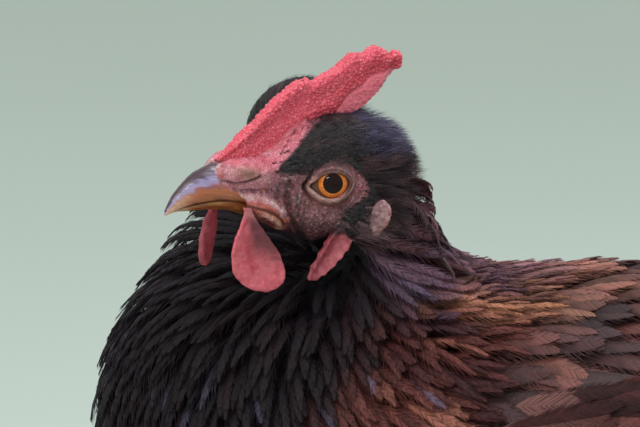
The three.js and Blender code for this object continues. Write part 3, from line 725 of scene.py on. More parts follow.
def face_paint(local):
    p = left_side(local)
    _, y, z = p.T
    angle, past, fan, crease_at, rear, slit, fold, rim, mouth = face_marks(p)
    broad = rough_noise(p + 9, 4.0, 3)
    fine = rough_noise(p + 23, 0.9, 2)
    lines = 0.5 + 0.5 * np.sin(fan * 2 * math.pi / PLEAT_STEP)
    tops = pebbles(p, 1.15)
    lower = on_lower_lid(angle)
    below_rim = under_horn_border(y, z)
    gape = smooth(-30, -28, y) * smooth(-7, -10, y)
    comb_like = comb_skin(p[:, 1:])
    plain = 1 - comb_like
    return painted(
        p, FACE_MAUVE,
        (smooth(-12, -17, y) * 0.9, FACE_PINK),
        (bump(y, -6, 6.5) * bump(z, -3.5, 6) * 0.85, FACE_BEIGE),
        (bump(y, 0, 7) * bump(z, -7.5, 2.5) * 0.6, FACE_PINK),
        (bump(y, -13.0, 3.2) * bump(z, -2.5, 4) * 0.75, (0.20, 0.075, 0.09)),
        (lines * 0.6 * bump(y, -7.0, 5.5) * smooth(4, -2, z), FACE_BROWN),
        (rear * bump(past, 3.9, 2.0) * 0.75, (0.64, 0.25, 0.28)),
        # painted shade in the groove inside the fleshy roll behind the eye
        (rear * bump(past, 1.6, 0.6) * 0.8, FACE_BROWN),
        (smooth(2, 6, z) * smooth(-13, -9, y) * 0.8 * plain, FACE_BROWN),
        (smooth(-9.2, -12.2, z + 0.8 * broad) * smooth(-9, -5, y) * 0.9, (0.10, 0.042, 0.05)),
        (smooth(-11.5, -13.5, z) * smooth(-5, -9, y) * 0.85, (0.13, 0.05, 0.058)),
        (bump(y, 9, 5) * bump(z, -9, 4.5) * 0.9, (0.11, 0.058, 0.068)),
        # painted shade: near black under the jaw
        (smooth(-13.5, -17, z) * smooth(-12, -8, y) * 0.95, (0.02, 0.009, 0.01)),
        # painted shade in the two creases between the snout and the cheek, which the relief cuts in
        (bump(crease_at, 0, 1.1) * smooth(2.5, -1, z) * 0.97, (0.045, 0.014, 0.018)),
        (bump(crease_at, -2.4, 0.6) * smooth(1, -3, z) * 0.75, FACE_BROWN),
        (bump(crease_at, 2.2, 0.35) * smooth(1, -3, z) * 0.6, FACE_BROWN),
        (0.6 * smooth(-0.1, 0.6, broad) * plain * smooth(-16, -11, y), (0.17, 0.06, 0.072)),
        # painted shade in the pebbles' clefts, then a painted highlight on their tops
        ((1 - tops) * 0.6 * smooth(-17, -12, y) * plain, FACE_BROWN),
        (tops * 0.45 * smooth(0.1, 0.6, -broad) * smooth(-12, -9.5, z), FACE_PALE),
        (tops * 0.4 * smooth(-9.5, -12, z) * smooth(0.1, 0.5, fine), (0.42, 0.22, 0.22)),
        (0.35 * smooth(0.0, 0.8, fine), FACE_RED),
        (0.35 * smooth(0.1, 0.8, -fine) * smooth(-13.5, -11, z), FACE_PALE),
        (comb_like, COMB_PINK),
        (comb_like * smooth(0.0, 0.7, broad) * 0.5, (0.72, 0.10, 0.15)),
        (comb_like * smooth(0.1, 0.7, -broad) * 0.6, (0.93, 0.48, 0.53)),
        # painted shade in the pebbles' clefts
        (comb_like * (1 - tops) * 0.35, (0.66, 0.10, 0.15)),
        (bump(z - 1.1, 0, 1.5) * bump(y, -22.5, 3.4) * 0.8, (0.62, 0.30, 0.20)),
        # painted shade along the nostril's fold groove, broken by noise
        (bump(fold, 0, 0.9) * smooth(-0.5, 0.2, fine) * 0.85, (0.12, 0.035, 0.06)),
        (bump(fold, 1.9, 0.5) * smooth(-0.2, 0.4, -fine) * 0.6, (0.14, 0.045, 0.07)),
        # painted shade: the nostril slit near black
        (bump(slit, 0, 0.42) * mix(0.7, 1, smooth(-25, -21, y)), (0.03, 0.008, 0.008)),
        (smooth(0.5, 1.1, below_rim) * gape * 0.92, mix(np.array(RUST), np.array(FACE_RED), 0.25)),
        (bump(mouth, -2.8, 0.9) * smooth(-17, -14, y) * smooth(-9, -12, y) * 0.8, (0.36, 0.07, 0.09)),
        (bump(mouth, -1.3, 0.65) * smooth(-19, -15, y) * smooth(-8, -10, y) * 0.9, (0.74, 0.47, 0.37)),
        # painted shade in the gap along the mouth's line
        (bump(mouth, 0, 0.4) * smooth(-7.5, -9.5, y) * smooth(-23, -19, y) * 0.95, (0.06, 0.012, 0.01)),
        (bump(rim, 0, 0.8) * 0.85, FACE_PALE),
        (lower * bump(past, 0.75, 0.75), LID_PALE),
        # painted shade in the fold's groove below the lower lid
        (lower * bump(past, 2.0, 0.55) * 0.75, (0.16, 0.05, 0.03)),
        ((1 - lower) * smooth(1.7, 0.9, past) * 0.85, LID_DARK),
        ((1 - lower) * bump(past, 1.25, 0.28) * 0.55, (0.36, 0.21, 0.18)),
        (smooth(80, 50, turned_from(angle, 112)) * smooth(1.5, 2.4, past) * smooth(6, 4.4, past) * 0.85,
         (0.085, 0.04, 0.042)),
    )


def patch(p, y, z, y_size, z_size):
    """A soft-edged patch on the hen's left, about a place along and up."""
    return np.exp(-(((p[:, 1] - y) / y_size) ** 2) - ((p[:, 2] - z) / z_size) ** 2) * (p[:, 0] > 0)


def mahogany_colour(p):
    """The back and wings: mahogany, with darker and rustier patches, a few straw ones and a painted
    pinkish-grey highlight on the left side.
    """
    broad = rough_noise(p * (1, 0.7, 1), 18.0, 3)
    fine = rough_noise(p + 77, 8.0, 2)
    return painted(
        p, (0.105, 0.030, 0.025),
        (smooth(0.0, 0.45, -broad) * 0.85, (0.020, 0.008, 0.009)),
        (smooth(0.0, 0.5, fine) * 0.6, (0.032, 0.010, 0.011)),
        (smooth(0.0, 0.5, broad) * 0.6, (0.19, 0.058, 0.042)),
        (smooth(0.15, 0.5, broad - 0.6 * fine) * 0.45, (0.32, 0.125, 0.085)),
        (patch(p, -58, 270, 22, 3.2) * smooth(-0.6, 0.1, fine) * 0.85, (0.44, 0.185, 0.095)),
        (patch(p, -40, 264, 13, 6) * 0.85, (0.022, 0.011, 0.014)),
        # painted pinkish-grey highlight
        (patch(p, -45, 245, 9, 8) * smooth(-0.7, 0.2, fine) * 0.6, (0.30, 0.14, 0.125)),
        (patch(p, -33, 250, 6, 12) * 0.8, (0.02, 0.011, 0.012)),
    )


def plumage_colour(p):
    """The coat's colour over the body, shared by the skin and by every feather, with a painted violet gloss
    and a painted mauve sheen over the nape and upper back.
    """
    broad = rough_noise(p, 26.0, 3)
    fine = rough_noise(p + 77, 7.0, 2)
    _, y, z = p.T
    nape = smooth(-101, -93, y) * smooth(266, 278, z) * smooth(322, 308, z) * smooth(-0.5, 0.3, fine)
    border = np.interp(z, [150, 200, 238, 262, 280], [-100, -112, -110, -100, -78])
    glossy = smooth(-98, -90, y) * smooth(-72, -84, y) * smooth(262, 270, z) * smooth(290, 280, z)
    painted_mauve_sheen = smooth(-90, -78, y) * smooth(-42, -58, y) * smooth(268, 275, z)
    return painted(
        p, (0.012, 0.008, 0.010),
        (smooth(0.0, 0.7, fine) * 0.5, (0.022, 0.011, 0.013)),
        (0.85 * nape, (0.15, 0.055, 0.045)),
        (smooth(-10, 10, y - border + 9 * broad + 5 * fine), mahogany_colour(p)),
        # painted violet-blue gloss low on the nape, and a painted mauve sheen over the upper back
        (0.65 * glossy * smooth(-0.6, 0.4, fine), (0.075, 0.062, 0.115)),
        (0.75 * painted_mauve_sheen * smooth(-0.7, 0.3, fine), (0.19, 0.085, 0.12)),
    )


def head_hair_colour(p):
    """The short feathers of the head: black crown with a painted violet gloss behind, purple-brown ear tufts.
    """
    local = left_side(to_head(p))
    x, y, z = local.T
    fine = rough_noise(local, 3.0, 2)
    ear = smooth(3, 6, y) * smooth(21, 17, y) * smooth(-4, -6.5, z) * smooth(-16.5, -14, z) * smooth(4, 8, x)
    return painted(
        p, (0.026, 0.016, 0.019),
        (smooth(-0.2, 0.5, fine) * 0.7, (0.085, 0.043, 0.045)),
        # painted violet gloss over the crown's rear
        (smooth(6, 12, z) * smooth(6, 14, y) * 0.7, (0.060, 0.056, 0.105)),
        (ear * 0.95, (0.17, 0.095, 0.11)),
    )


def eye_place(angle, away, height):
    """Points about the left eye, from polar places across its line of sight and heights along it."""
    angle, away, height = np.broadcast_arrays(angle, away, height)
    return EYE_SEAT + (away * np.cos(angle))[..., None] * EYE_BACK \
        + (away * np.sin(angle))[..., None] * EYE_UP + height[..., None] * EYE_AIM


def mirrored_mesh(name, local, faces, sign):
    """A mesh from points of the left side of the head, set on either side."""
    mesh = mesh_of(name, from_head(np.asarray(local) * (sign, 1, 1)), faces)
    if sign < 0:
        mesh.flip_normals()
    return mesh


def skin_height(angle, away):
    """Height along the eye's line of sight where the face's skin lies."""
    height = np.full(angle.shape, 14.0)
    for _ in range(40):
        height = height - 0.7 * face_form(eye_place(angle, away, height))
    return height


def lid_points():
    """Rings of both lids: in under the edge, round its margin, over the lids and out to the face."""
    angle = full_turn(160)
    edge = lid_edge(angle)
    lower = on_lower_lid(angle)
    corner = bump(turned_from(angle, 196), 0, 16)

    def over_ball(away, lift):
        return np.sqrt(np.maximum((EYE_RADIUS + lift) ** 2 - away**2, 4.0))

    rings = [eye_place(angle, edge + 0.5, over_ball(edge + 0.5, -0.5)),
             eye_place(angle, edge + 0.02, over_ball(edge, -0.1)),
             eye_place(angle, edge, over_ball(edge, 0.25)),
             eye_place(angle, edge + 0.12, over_ball(edge, 0.5))]
    for t in np.linspace(0, 1, 34):
        past = 0.3 + 3.9 * t
        away = edge + past
        lid = over_ball(away, 0.75 + 0.25 * lower - 0.3 * corner)
        fold = 0.45 * lower * (bump(past, 0.8, 0.8) - bump(past, 2.0, 0.5)) \
            + 0.35 * (1 - lower) * (bump(past, 1.7, 0.6) - bump(past, 0.9, 0.4))
        skin = skin_height(angle, away) - 0.35 * smooth(0.9, 1, t)
        height = mix(lid, skin, smooth(0.25, 0.95, t)) + fold * smooth(1, 0.75, t)
        ring = eye_place(angle, away, height)
        relief = face_relief(ring) + 3.0 * smooth(3.0, 1.4, past)
        rings.append(ring + EYE_AIM * (relief * smooth(0.15, 0.5, t))[:, None])
    return np.array(rings)


def add_lids(skin):
    rings = lid_points()
    rows, columns = rings.shape[:2]
    local = rings.reshape(-1, 3)
    paint = face_paint(local)
    for side, sign in SIDES.items():
        mesh = mirrored_mesh(f"lids_{side}", local, grid_faces(rows, columns, closed=True), sign)
        face_outwards(mesh, from_head(EYE_SEAT * (sign, 1, 1)))
        add_piece(mesh, paint, skin, "face")


def face_outwards(mesh, middle):
    """Turns an open sheet's faces away from a point."""
    at = places(mesh)
    turned = sum(dot(at[f.vertices[0]] - middle, np.array(f.normal)) > 0 for f in mesh.polygons)
    if turned < len(mesh.polygons) / 2:
        mesh.flip_normals()


def eye_ball_mesh(side, sign):
    """A ball with rings about its line of sight, fuller in front where the clear cornea stands out."""
    theta = np.concatenate([np.linspace(0.004, 0.75, 60), np.linspace(0.79, math.pi - 0.01, 24)])
    angle = full_turn(96)
    rings = []
    for t in theta:
        radius = EYE_RADIUS + 0.25 * smooth(0.62, 0.1, t)
        rings.append(eye_place(angle, radius * math.sin(t), radius * math.cos(t)))
    return tube_mesh(f"eye_ball_{side}", from_head(np.array(rings) * (sign, 1, 1)))


def eye_paint(local):
    angle, away, _ = eye_polar(left_side(local))
    spoke = np.stack([np.cos(angle) * 9, np.sin(angle) * 9, away * 0.5], 1)
    spokes = rough_noise(spoke, 1.0, 3)
    broad = rough_noise(spoke, 5.0, 2)
    return painted(
        local, (0.66, 0.165, 0.028),
        (smooth(0.0, 0.8, spokes) * 0.45, (0.78, 0.29, 0.06)),
        (smooth(0.0, 0.7, -spokes) * 0.45, (0.38, 0.08, 0.012)),
        (bump(away, PUPIL_RADIUS, 0.3) * 0.45, (0.74, 0.33, 0.08)),
        (smooth(0.0, 0.7, broad) * 0.35, (0.42, 0.10, 0.02)),
        # painted shadow of the upper lid over the top of the iris
        (smooth(0.0, 4.0, away * np.sin(angle)) * 0.6, (0.27, 0.06, 0.014)),
        (smooth(IRIS_RADIUS - 0.55, IRIS_RADIUS - 0.05, away), (0.12, 0.04, 0.02)),
        (smooth(IRIS_RADIUS, IRIS_RADIUS + 0.35, away), EYE_WHITE),
        (smooth(PUPIL_RADIUS + 0.1, PUPIL_RADIUS - 0.08, away), (0.003, 0.003, 0.005)),
    )


def add_eyes():
    finish = eye_finish()
    for side, sign in SIDES.items():
        mesh = eye_ball_mesh(side, sign)
        local = to_head(places(mesh))
        behind = dot(left_side(local) - EYE_SEAT, EYE_AIM) < 0
        paint = painted(local, eye_paint(local), (behind, EYE_WHITE))
        add_piece(mesh, paint, finish, "eye", f"eye_{side}")


# ---------- bill ----------

CULMEN = [(0, -14, 3.4), (0, -22, 3.2), (0, -27.4, 2.4), (0, -33, -0.2), (0, -35.8, -2.2), (0, -38.4, -5.3),
          (0, -40.4, -8.4), (0, -41.5, -11.4), (0, -41.8, -12.9)]
MOUTH_EDGE = [(8.3, -10.6, -11), (7.2, -12.7, -9.6), (6.4, -15.4, -8.6), (5.6, -20.6, -7.7),
              (4.4, -26.6, -7.6), (3.1, -32.9, -8.8), (2.2, -36.8, -10.2), (1.2, -40, -12),
              (0.35, -41.6, -13.1)]


def upper_bill_rings():
    t = np.linspace(0, 1, 90)
    crest, edge = curve_through(CULMEN, t), curve_through(MOUTH_EDGE, t)
    turn = np.linspace(0, math.pi, 41)
    full = np.sin(turn) ** 0.85
    rings = []
    for top, side in zip(crest, edge):
        x = side[0] * np.cos(turn) * (1 + 0.10 * np.sin(turn) ** 2)
        outer = np.stack([x, mix(side[1], top[1], full), mix(side[2], top[2], full)], 1)
        inner = np.stack([x[::-1] * 0.8, np.full(len(turn), side[1] + 0.2),
                          side[2] + 0.45 + 1.2 * np.sin(turn) * (side[0] / 8)], 1)[1:-1]
        rings.append(np.vstack([outer, inner]))
    return np.array(rings)


def lower_bill_rings():
    """The lower bill: a trough under the mouth's edge, closed above by the mouth's floor."""
    keel = [(0, -9, -12.6), (0, -13, -12.8), (0, -18, -12.2), (0, -20.5, -11.6), (0, -24.6, -10.9),
            (0, -31.9, -11.2), (0, -36, -11.7), (0, -38.6, -12)]
    rim = [(4.6, -10.2, -11), (5, -12.7, -9.9), (5.1, -16, -8.7), (4.9, -20.6, -7.8), (4.1, -26.6, -7.7),
           (2.9, -32.5, -8.8), (1.8, -36, -10.1), (0.6, -38.6, -11.3)]
    t = np.linspace(0, 1, 80)
    low, high = curve_through(keel, t), curve_through(rim, t)
    turn = np.linspace(0, math.pi, 37)
    full = np.sin(turn) ** 0.9
    rings = []
    for bottom, side in zip(low, high):
        x = side[0] * np.cos(turn)
        outer = np.stack([x, mix(side[1], bottom[1], full), mix(side[2], bottom[2], full)], 1)
        inner = np.stack([x[::-1] * 0.85, np.full(len(turn), side[1]),
                          side[2] - 0.3 - 0.5 * np.sin(turn)], 1)[1:-1]
        rings.append(np.vstack([outer, inner]))
    return np.array(rings)


def bill_relief(p):
    """Growth ridges that follow the mouth's edge, and flaking where horn meets skin."""
    growth = rough_noise(p * (1, 0.35, 1.6), 1.6, 3)
    flakes = np.maximum(rough_noise(p * (1, 0.5, 1) + 60, 0.9, 3), 0)
    near_border = bump(from_line(left_side(p), HORN_BORDER), 0.4, 1.6)
    return 0.07 * growth + 0.35 * (flakes * near_border)


SLATE, SLATE_LIGHT = (0.055, 0.032, 0.045), (0.34, 0.28, 0.48)
STRAW, AMBER, HORN_DARK = (0.60, 0.36, 0.24), (0.24, 0.065, 0.015), (0.03, 0.01, 0.009)


def upper_bill_paint(p):
    t = np.linspace(0, 1, 60)
    crest, edge = curve_through(CULMEN, t), curve_through(MOUTH_EDGE, t)
    high = np.interp(-p[:, 1], -crest[:, 1], crest[:, 2])
    low = np.interp(-p[:, 1], -edge[:, 1], edge[:, 2])
    up = np.clip((p[:, 2] - low) / np.maximum(high - low, 0.5), 0, 1.2)
    streak = rough_noise(p * (1, 0.25, 1.5) + 5, 1.8, 3)
    fine = rough_noise(p * (1, 0.6, 1), 0.7, 2)
    tip = smooth(-35, -40.5, p[:, 1] - 0.4 * (p[:, 2] + 10))
    up = up + 0.10 * streak
    near_border = bump(from_line(left_side(p), HORN_BORDER), 0.3, 1.3)
    return painted(
        p, RUST,
        (smooth(0.2, 0.7, streak) * 0.5, (0.60, 0.20, 0.10)),
        (smooth(0.32, 0.12, up) * 0.6, AMBER),
        (smooth(0.45, 0.62, up), SLATE_LIGHT),
        (smooth(0.70, 0.92, up), SLATE),
        (bump(up, 0.50, 0.06) * 0.6, (0.28, 0.07, 0.10)),
        (tip * smooth(0.75, 0.3, up) * 0.9, STRAW),
        # painted shade in the gap along the mouth's edge, where the bills meet
        (smooth(0.06, 0.0, up) * 0.8 * (1 - tip), HORN_DARK),
        (near_border * smooth(-0.2, 0.3, fine) * smooth(0.4, 0.9, up) * 0.9, (0.52, 0.44, 0.55)),
        (smooth(0.2, 0.7, fine) * 0.25, HORN_DARK),
    )


def lower_bill_paint(p):
    streak = rough_noise(p * (1, 0.25, 1.5) + 15, 1.8, 3)
    back = smooth(-19, -13, p[:, 1])
    return painted(
        p, AMBER,
        (smooth(0, 0.7, streak) * 0.6, (0.42, 0.21, 0.06)),
        (smooth(-0.1, 0.6, -streak) * 0.4, (0.12, 0.035, 0.012)),
        (smooth(-34, -38, p[:, 1]) * 0.7, STRAW),
        (back * 0.9, (0.64, 0.33, 0.27)),
    )


def with_relief(rings, relief):
    """Rings of a closed tube moved outwards by a height in millimetres."""
    mesh = tube_mesh("draft", rings)
    at, normals = places(mesh), read_points(mesh, "normal")
    faces = [tuple(f.vertices) for f in mesh.polygons]
    bpy.data.meshes.remove(mesh)
    return at + normals * relief(at)[:, None], faces


def under_skin(local):
    """The horn's root sunk under the face's skin, above and behind the skin's edge."""
    folded = left_side(local)
    behind = -under_horn_border(folded[:, 1], folded[:, 2]) * smooth(-29.5, -28, folded[:, 1])
    depth = np.maximum(face_form(local) + 0.6, 0) * smooth(0.0, 0.7, behind)
    return local - outward_of(face_form, local) * depth[:, None]


def add_bill():
    horn = horn_finish()
    for name, rings, paint in (("bill_upper", upper_bill_rings(), upper_bill_paint),
                               ("bill_lower", lower_bill_rings(), lower_bill_paint)):
        local, faces = with_relief(rings, bill_relief)
        if name == "bill_upper":
            local = under_skin(local)
        add_piece(mesh_of(f"{name}_horn", from_head(local), faces), paint(local), horn, "horn", name)


# ---------- comb ----------

# The comb's foot and crest, as places back and up from the eyes' middle.
COMB_FOOT = [(-28.6, 2.4), (-22, 3.2), (-15, 4.6), (-8, 8), (0, 12.5), (8, 16), (14, 19.5), (18, 24),
             (21.5, 28.5)]
COMB_TOP = [(-28.8, 3.6), (-24.5, 9.5), (-20.3, 14.4), (-15.5, 20), (-10.6, 24.4), (-7.2, 26.3),
            (-5.4, 26.7), (-4.6, 25.6), (-3.6, 25.7), (0, 27.4), (4.2, 30), (7, 33), (9.2, 34.2),
            (10.8, 34.0), (11.4, 33.3), (12.4, 34.2), (14.5, 36), (17, 35.6), (18.2, 34.5), (18.7, 33.8),
            (19.6, 34.6), (21, 35.2), (22.6, 34.2), (23.2, 31.4)]
COMB_LEAN = 2.2
COMB_CREST = 0.86  # where the comb's faces begin to round over, as a share of its height


def even_line(rows, count):
    """A smooth line through rows, as places at even steps along it."""
    dense = curve_through(rows, np.linspace(0, 1, 1200))
    run = np.concatenate([[0], np.cumsum(np.linalg.norm(np.diff(dense, axis=0), axis=1))])
    want = np.linspace(0, run[-1], count)
    return np.stack([np.interp(want, run, dense[:, k]) for k in range(dense.shape[1])], 1)


def comb_rings(columns=300, flat=62, crest=22):
    """Cross-sections from the comb's front to its back: up one face, round the crest, down the other."""
    foot, top = even_line(COMB_FOOT, columns), even_line(COMB_TOP, columns)
    v = np.concatenate([np.linspace(0, COMB_CREST, flat, endpoint=False),
                        COMB_CREST + 0.14 * np.sin(np.linspace(0, math.pi / 2, crest))])
    rounded = np.sqrt(np.clip(1 - ((v - COMB_CREST) / 0.143).clip(0) ** 2, 0.004, 1))
    rings, share = [], []
    for i, (low, high) in enumerate(zip(foot, top)):
        u = i / (columns - 1)
        thick = 2.1 * (1 + 1.1 * (1 - v) ** 2 * max(0, 1 - 1.6 * u)) * min(1, 0.28 + 7 * min(u, 1 - u))
        thick = thick * (1 - 0.22 * bump(v, 0.62, 0.16)) * rounded
        y, z = mix(low[0], high[0], v), mix(low[1], high[1], v)
        sway = 1.4 * v * v * math.sin(7 * u) + COMB_LEAN * v
        left = np.stack([sway + thick, y, z], 1)
        right = np.stack([sway - thick, y, z], 1)
        rings.append(np.vstack([left, right[::-1]]))
        share.append(np.concatenate([v, v[::-1]]))
    return np.array(rings), np.array(share), np.linspace(0, 1, columns)


def comb_zones(u, v, p):
    """How pebbled and how deep in colour the comb is: a thick band along its crest."""
    waver = 0.05 * rough_noise(p + 31, 5.0, 2)
    border = np.interp(u, [0, 0.1, 0.25, 0.36, 0.46, 0.52, 0.6, 0.68, 0.78, 0.88, 1],
                       [0.22, 0.12, 0.12, 0.26, 0.34, 0.16, 0.14, 0.36, 0.50, 0.56, 0.5])
    return smooth(border - 0.10, border + 0.08, v + waver), border


def add_comb():
    rings, v, u = comb_rings()
    u = np.concatenate([np.repeat(u, rings.shape[1]), [0, 1]])
    v = np.concatenate([v.ravel(), [0.5, 0.5]])

    def relief(p):
        band, border = comb_zones(u, v, p)
        clefts = rough_noise(p + 3, 4.5, 3)
        rim_clefts = sum(bump(u, at, 0.012) for at in (0.455, 0.735, 0.905)) * smooth(0.6, 1, v)
        grooves = np.sin((p[:, 1] + 0.8 * p[:, 2] + 1.5 * clefts) * 2 * math.pi / 2.3)
        return 0.40 * band * (pebbles(p, 1.05) - 0.4) + 0.30 * clefts + 0.22 * band \
            - 0.35 * bump(v, border - 0.03, 0.05) * smooth(0.4, 0.5, u) - 0.7 * rim_clefts \
            + 0.06 * grooves * (1 - band) + 0.14 * (1 - band) * (pebbles(p, 1.3) - 0.5)

    local, faces = with_relief(rings, relief)
    mesh = mesh_of("comb_flesh", from_head(local), faces)
    band, border = comb_zones(u, v, local)
    tops = pebbles(local, 1.05)
    broad = rough_noise(local + 12, 4.0, 3)
    rear_lobe = smooth(0.46, 0.54, u)
    paint = painted(
        local, COMB_PINK,
        (band, (0.80, 0.105, 0.155)),
        # painted highlight on the pebbles' tops
        (band * tops * 0.45, (0.93, 0.25, 0.32)),
        (band * rear_lobe * bump(v, border + 0.14, 0.13) * 0.7, (0.50, 0.035, 0.055)),
        # painted shade in the crease along the band's border, which the relief cuts in
        (bump(v, border - 0.02, 0.06) * smooth(0.40, 0.5, u) * 0.7, (0.55, 0.04, 0.06)),
        (bump(v, 0.24, 0.07) * bump(u, 0.09, 0.06) * 0.8, (0.60, 0.04, 0.06)),
        (smooth(0.1, 0.8, broad) * 0.35, (0.70, 0.09, 0.13)),
        ((1 - band) * smooth(0.1, 0.6, -broad) * (1 - rear_lobe) * 0.6, (0.94, 0.50, 0.55)),
        ((1 - band) * rear_lobe * 0.9, (0.72, 0.115, 0.17)),
        ((1 - band) * rear_lobe * smooth(0, 0.6, broad) * 0.5, (0.84, 0.24, 0.30)),
        # painted highlight on the pebbles' tops
        ((1 - band) * rear_lobe * tops * 0.3, (0.90, 0.32, 0.37)),
    )
    store_colour(mesh, paint)
    store(mesh, "pebbled", band)
    finished(object_of("comb_flesh", mesh), comb_finish(), "comb", "comb")


# ---------- wattles, throat folds and ear lobes ----------

def leaf_rings(root, long, wide, turn, thick, neck, belly, lean=0.0, curl=0.0):
    """A hanging leaf of skin, as closed cross-sections from its root down."""
    upper, foot, around = 60, 14, 56
    root = np.array(root, float)
    angle = math.radians(turn)
    across = np.array([math.sin(angle), math.cos(angle), 0])
    face = np.array([math.cos(angle), -math.sin(angle), 0])
    rings, down = [], []
    for v in np.concatenate([np.linspace(-0.06, 0.9, upper, endpoint=False),
                             1 - 0.1 * np.cos(np.linspace(0, 1, foot) * math.pi / 2)]):
        inside = max(v, 0)
        if v < belly:
            width = mix(neck, 1, math.sin(inside / belly * math.pi / 2) ** 1.25)
        else:
            width = math.sqrt(max(1 - ((v - belly) / (1.012 - belly)) ** 2, 0.003))
        turn_round = full_turn(around)
        side = np.cos(turn_round) * wide / 2 * width
        rim = np.abs(np.cos(turn_round)) ** 6
        half = thick * (0.85 + 0.5 * rim) * np.sign(np.sin(turn_round)) * np.abs(np.sin(turn_round)) ** 0.6
        half = half * min(1, width * 1.6 + 0.12) * (1 + 0.7 * bump(v, 0, 0.1))
        bow = curl * (np.cos(turn_round) ** 2 - 0.3) * math.sin(math.pi * inside)
        ring = root + across * (side + lean * v)[:, None] + face * (half + bow)[:, None]
        ring[:, 2] -= long * v
        rings.append(ring)
        down.append(np.full(around, v))
    return np.array(rings), np.concatenate([np.concatenate(down), [0, 1]])


def add_hanging_skin():
    finish = wattle_finish()
    wattle = {"thick": 1.15, "neck": 0.16, "belly": 0.7}
    fold = {"wide": 8.6, "thick": 1.3, "neck": 0.9, "belly": 0.25, "lean": -9.5}
    leaves = {
        "wattle_left": dict(wattle, root=(8, -20.6, -9.8), long=21.4, wide=15, turn=12, lean=7.0, curl=2),
        "wattle_right": dict(wattle, root=(-6.5, -23, -10), long=18.5, wide=12.5, turn=-52, curl=-2),
        "throat_fold_left": dict(fold, root=(10.4, 9.6, -12.4), long=15, turn=-8, curl=1.4),
        "throat_fold_right": dict(fold, root=(-9.5, 14.5, -11.5), long=9.5, turn=8, curl=-1.4, lean=-4),
    }
    for name, shape in leaves.items():
        rings, down = leaf_rings(**shape)
        is_wattle = name.startswith("wattle")

        def relief(p):
            lumps = rough_noise(p + 8, 3.0, 3)
            ridges = np.sin((p[:, 1] + 0.5 * p[:, 2] + 1.2 * lumps) * 2 * math.pi / 3.2)
            grain = pebbles(p, 0.9)
            return 0.22 * lumps + 0.09 * grain + (0.05 if is_wattle else 0.2) * ridges

        local, faces = with_relief(rings, relief)
        mesh = mesh_of(f"{name}_skin", from_head(local), faces)
        grain, broad = pebbles(local, 0.9), rough_noise(local + 8, 3.5, 3)
        run = down * shape.get("lean", 0)
        aside = (local[:, 1] - shape["root"][1] - run) / shape["wide"] * 2
        near = name == "wattle_left"
        # The near wattle: painted shade in the crease of its fold, and painted shadow over its upper rear
        # part.
        fold_crease_shade = bump(aside, mix(-0.35, -0.15, down), 0.2) * bump(down, 0.5, 0.25)
        in_shade = smooth(-0.3, 0.12, aside) * smooth(0.74, 0.36, down + 0.1 * broad)
        paint = painted(
            local, (0.62, 0.115, 0.15) if is_wattle else (0.50, 0.12, 0.145),
            # painted highlight on the grain's raised tops
            (grain * 0.3, (0.78, 0.24, 0.27)),
            (smooth(0.1, 0.7, broad) * 0.5, (0.42, 0.05, 0.07)),
            # painted shade in the fold's crease
            (near * fold_crease_shade * 0.75, (0.36, 0.03, 0.045)),
            (near * in_shade * 0.93, (0.10, 0.014, 0.024)),
            ((not near) * smooth(0.1, -0.7, aside) * 0.75, (0.22, 0.028, 0.04)),
            (smooth(0.14, 0.0, down) * 0.6, (0.50, 0.17, 0.17)),
            # painted shadow over the throat folds' upper part, deep under the throat
            ((0 if is_wattle else 0.96) * smooth(0.2, 0.06, down + 0.06 * broad), (0.05, 0.02, 0.024)),
        )
        add_piece(mesh, paint, finish, "wattle", name)


def add_ear_lobes():
    finish = wattle_finish()
    finish.name = "ear_lobe_skin"
    turn = full_turn(72)
    for side, sign in SIDES.items():
        rings = [np.stack([2.2 * math.sin(t) * np.cos(turn),
                           3.0 * math.sin(t) * np.sin(turn) * (1 + 0.15 * math.cos(t)),
                           5.0 * math.cos(t) + 0 * turn], 1) for t in np.linspace(0.02, math.pi - 0.02, 60)]
        tilt = Quaternion((1, 0, 0), math.radians(-10)).to_matrix()
        rings = np.array(rings) @ np.array(tilt).T + (sign * (15 if sign > 0 else 17), 16.4, -8.6)
        local, faces = with_relief(rings, lambda p: 0.8 * rough_noise(p, 3.2, 3) + 0.14 * pebbles(p, 1.1))
        mesh = mesh_of(f"ear_lobe_{side}", from_head(local), faces)
        broad, grain = rough_noise(local + 5, 2.5, 3), pebbles(local, 1.3)
        paint = painted(
            local, (0.40, 0.22, 0.215),
            (smooth(0.0, 0.5, broad) * 0.8, (0.22, 0.09, 0.10)),
            (smooth(17.4, 15.0, local[:, 1]) * 0.75, (0.16, 0.085, 0.095)),
            (grain * 0.3, (0.56, 0.36, 0.33)),
        )
        add_piece(mesh, paint, finish, "lobe", f"earlobe_{side}")


def evened(mesh, size):
    """A closed mesh covered afresh with even faces of a size in millimetres."""
    piece = object_of("evened", mesh)
    cover = piece.modifiers.new("even", "REMESH")
    cover.mode, cover.voxel_size = "VOXEL", size * MM
    result = evaluated_mesh(piece)
    bpy.data.objects.remove(piece)
    return result


def head_skin_mesh():
    points, faces = drawn_out(face_form, np.array([0, 1.0, 0]), np.array([1, 1.3, 1]), 6, limit=60)
    mesh = evened(mesh_of("head_skin", points, faces), 0.33)
    points = onto(face_form, places(mesh), 0, 2)
    points = points + outward_of(face_form, points) * face_relief(points)[:, None]
    return mesh_of("head_skin", from_head(points), [tuple(f.vertices) for f in mesh.polygons])


def body_skin_mesh(centre, stretch, limit):
    points, faces = drawn_out(flesh_form, np.array(centre, float), np.array(stretch, float), 6, limit)
    return mesh_of("body_skin", points, faces)


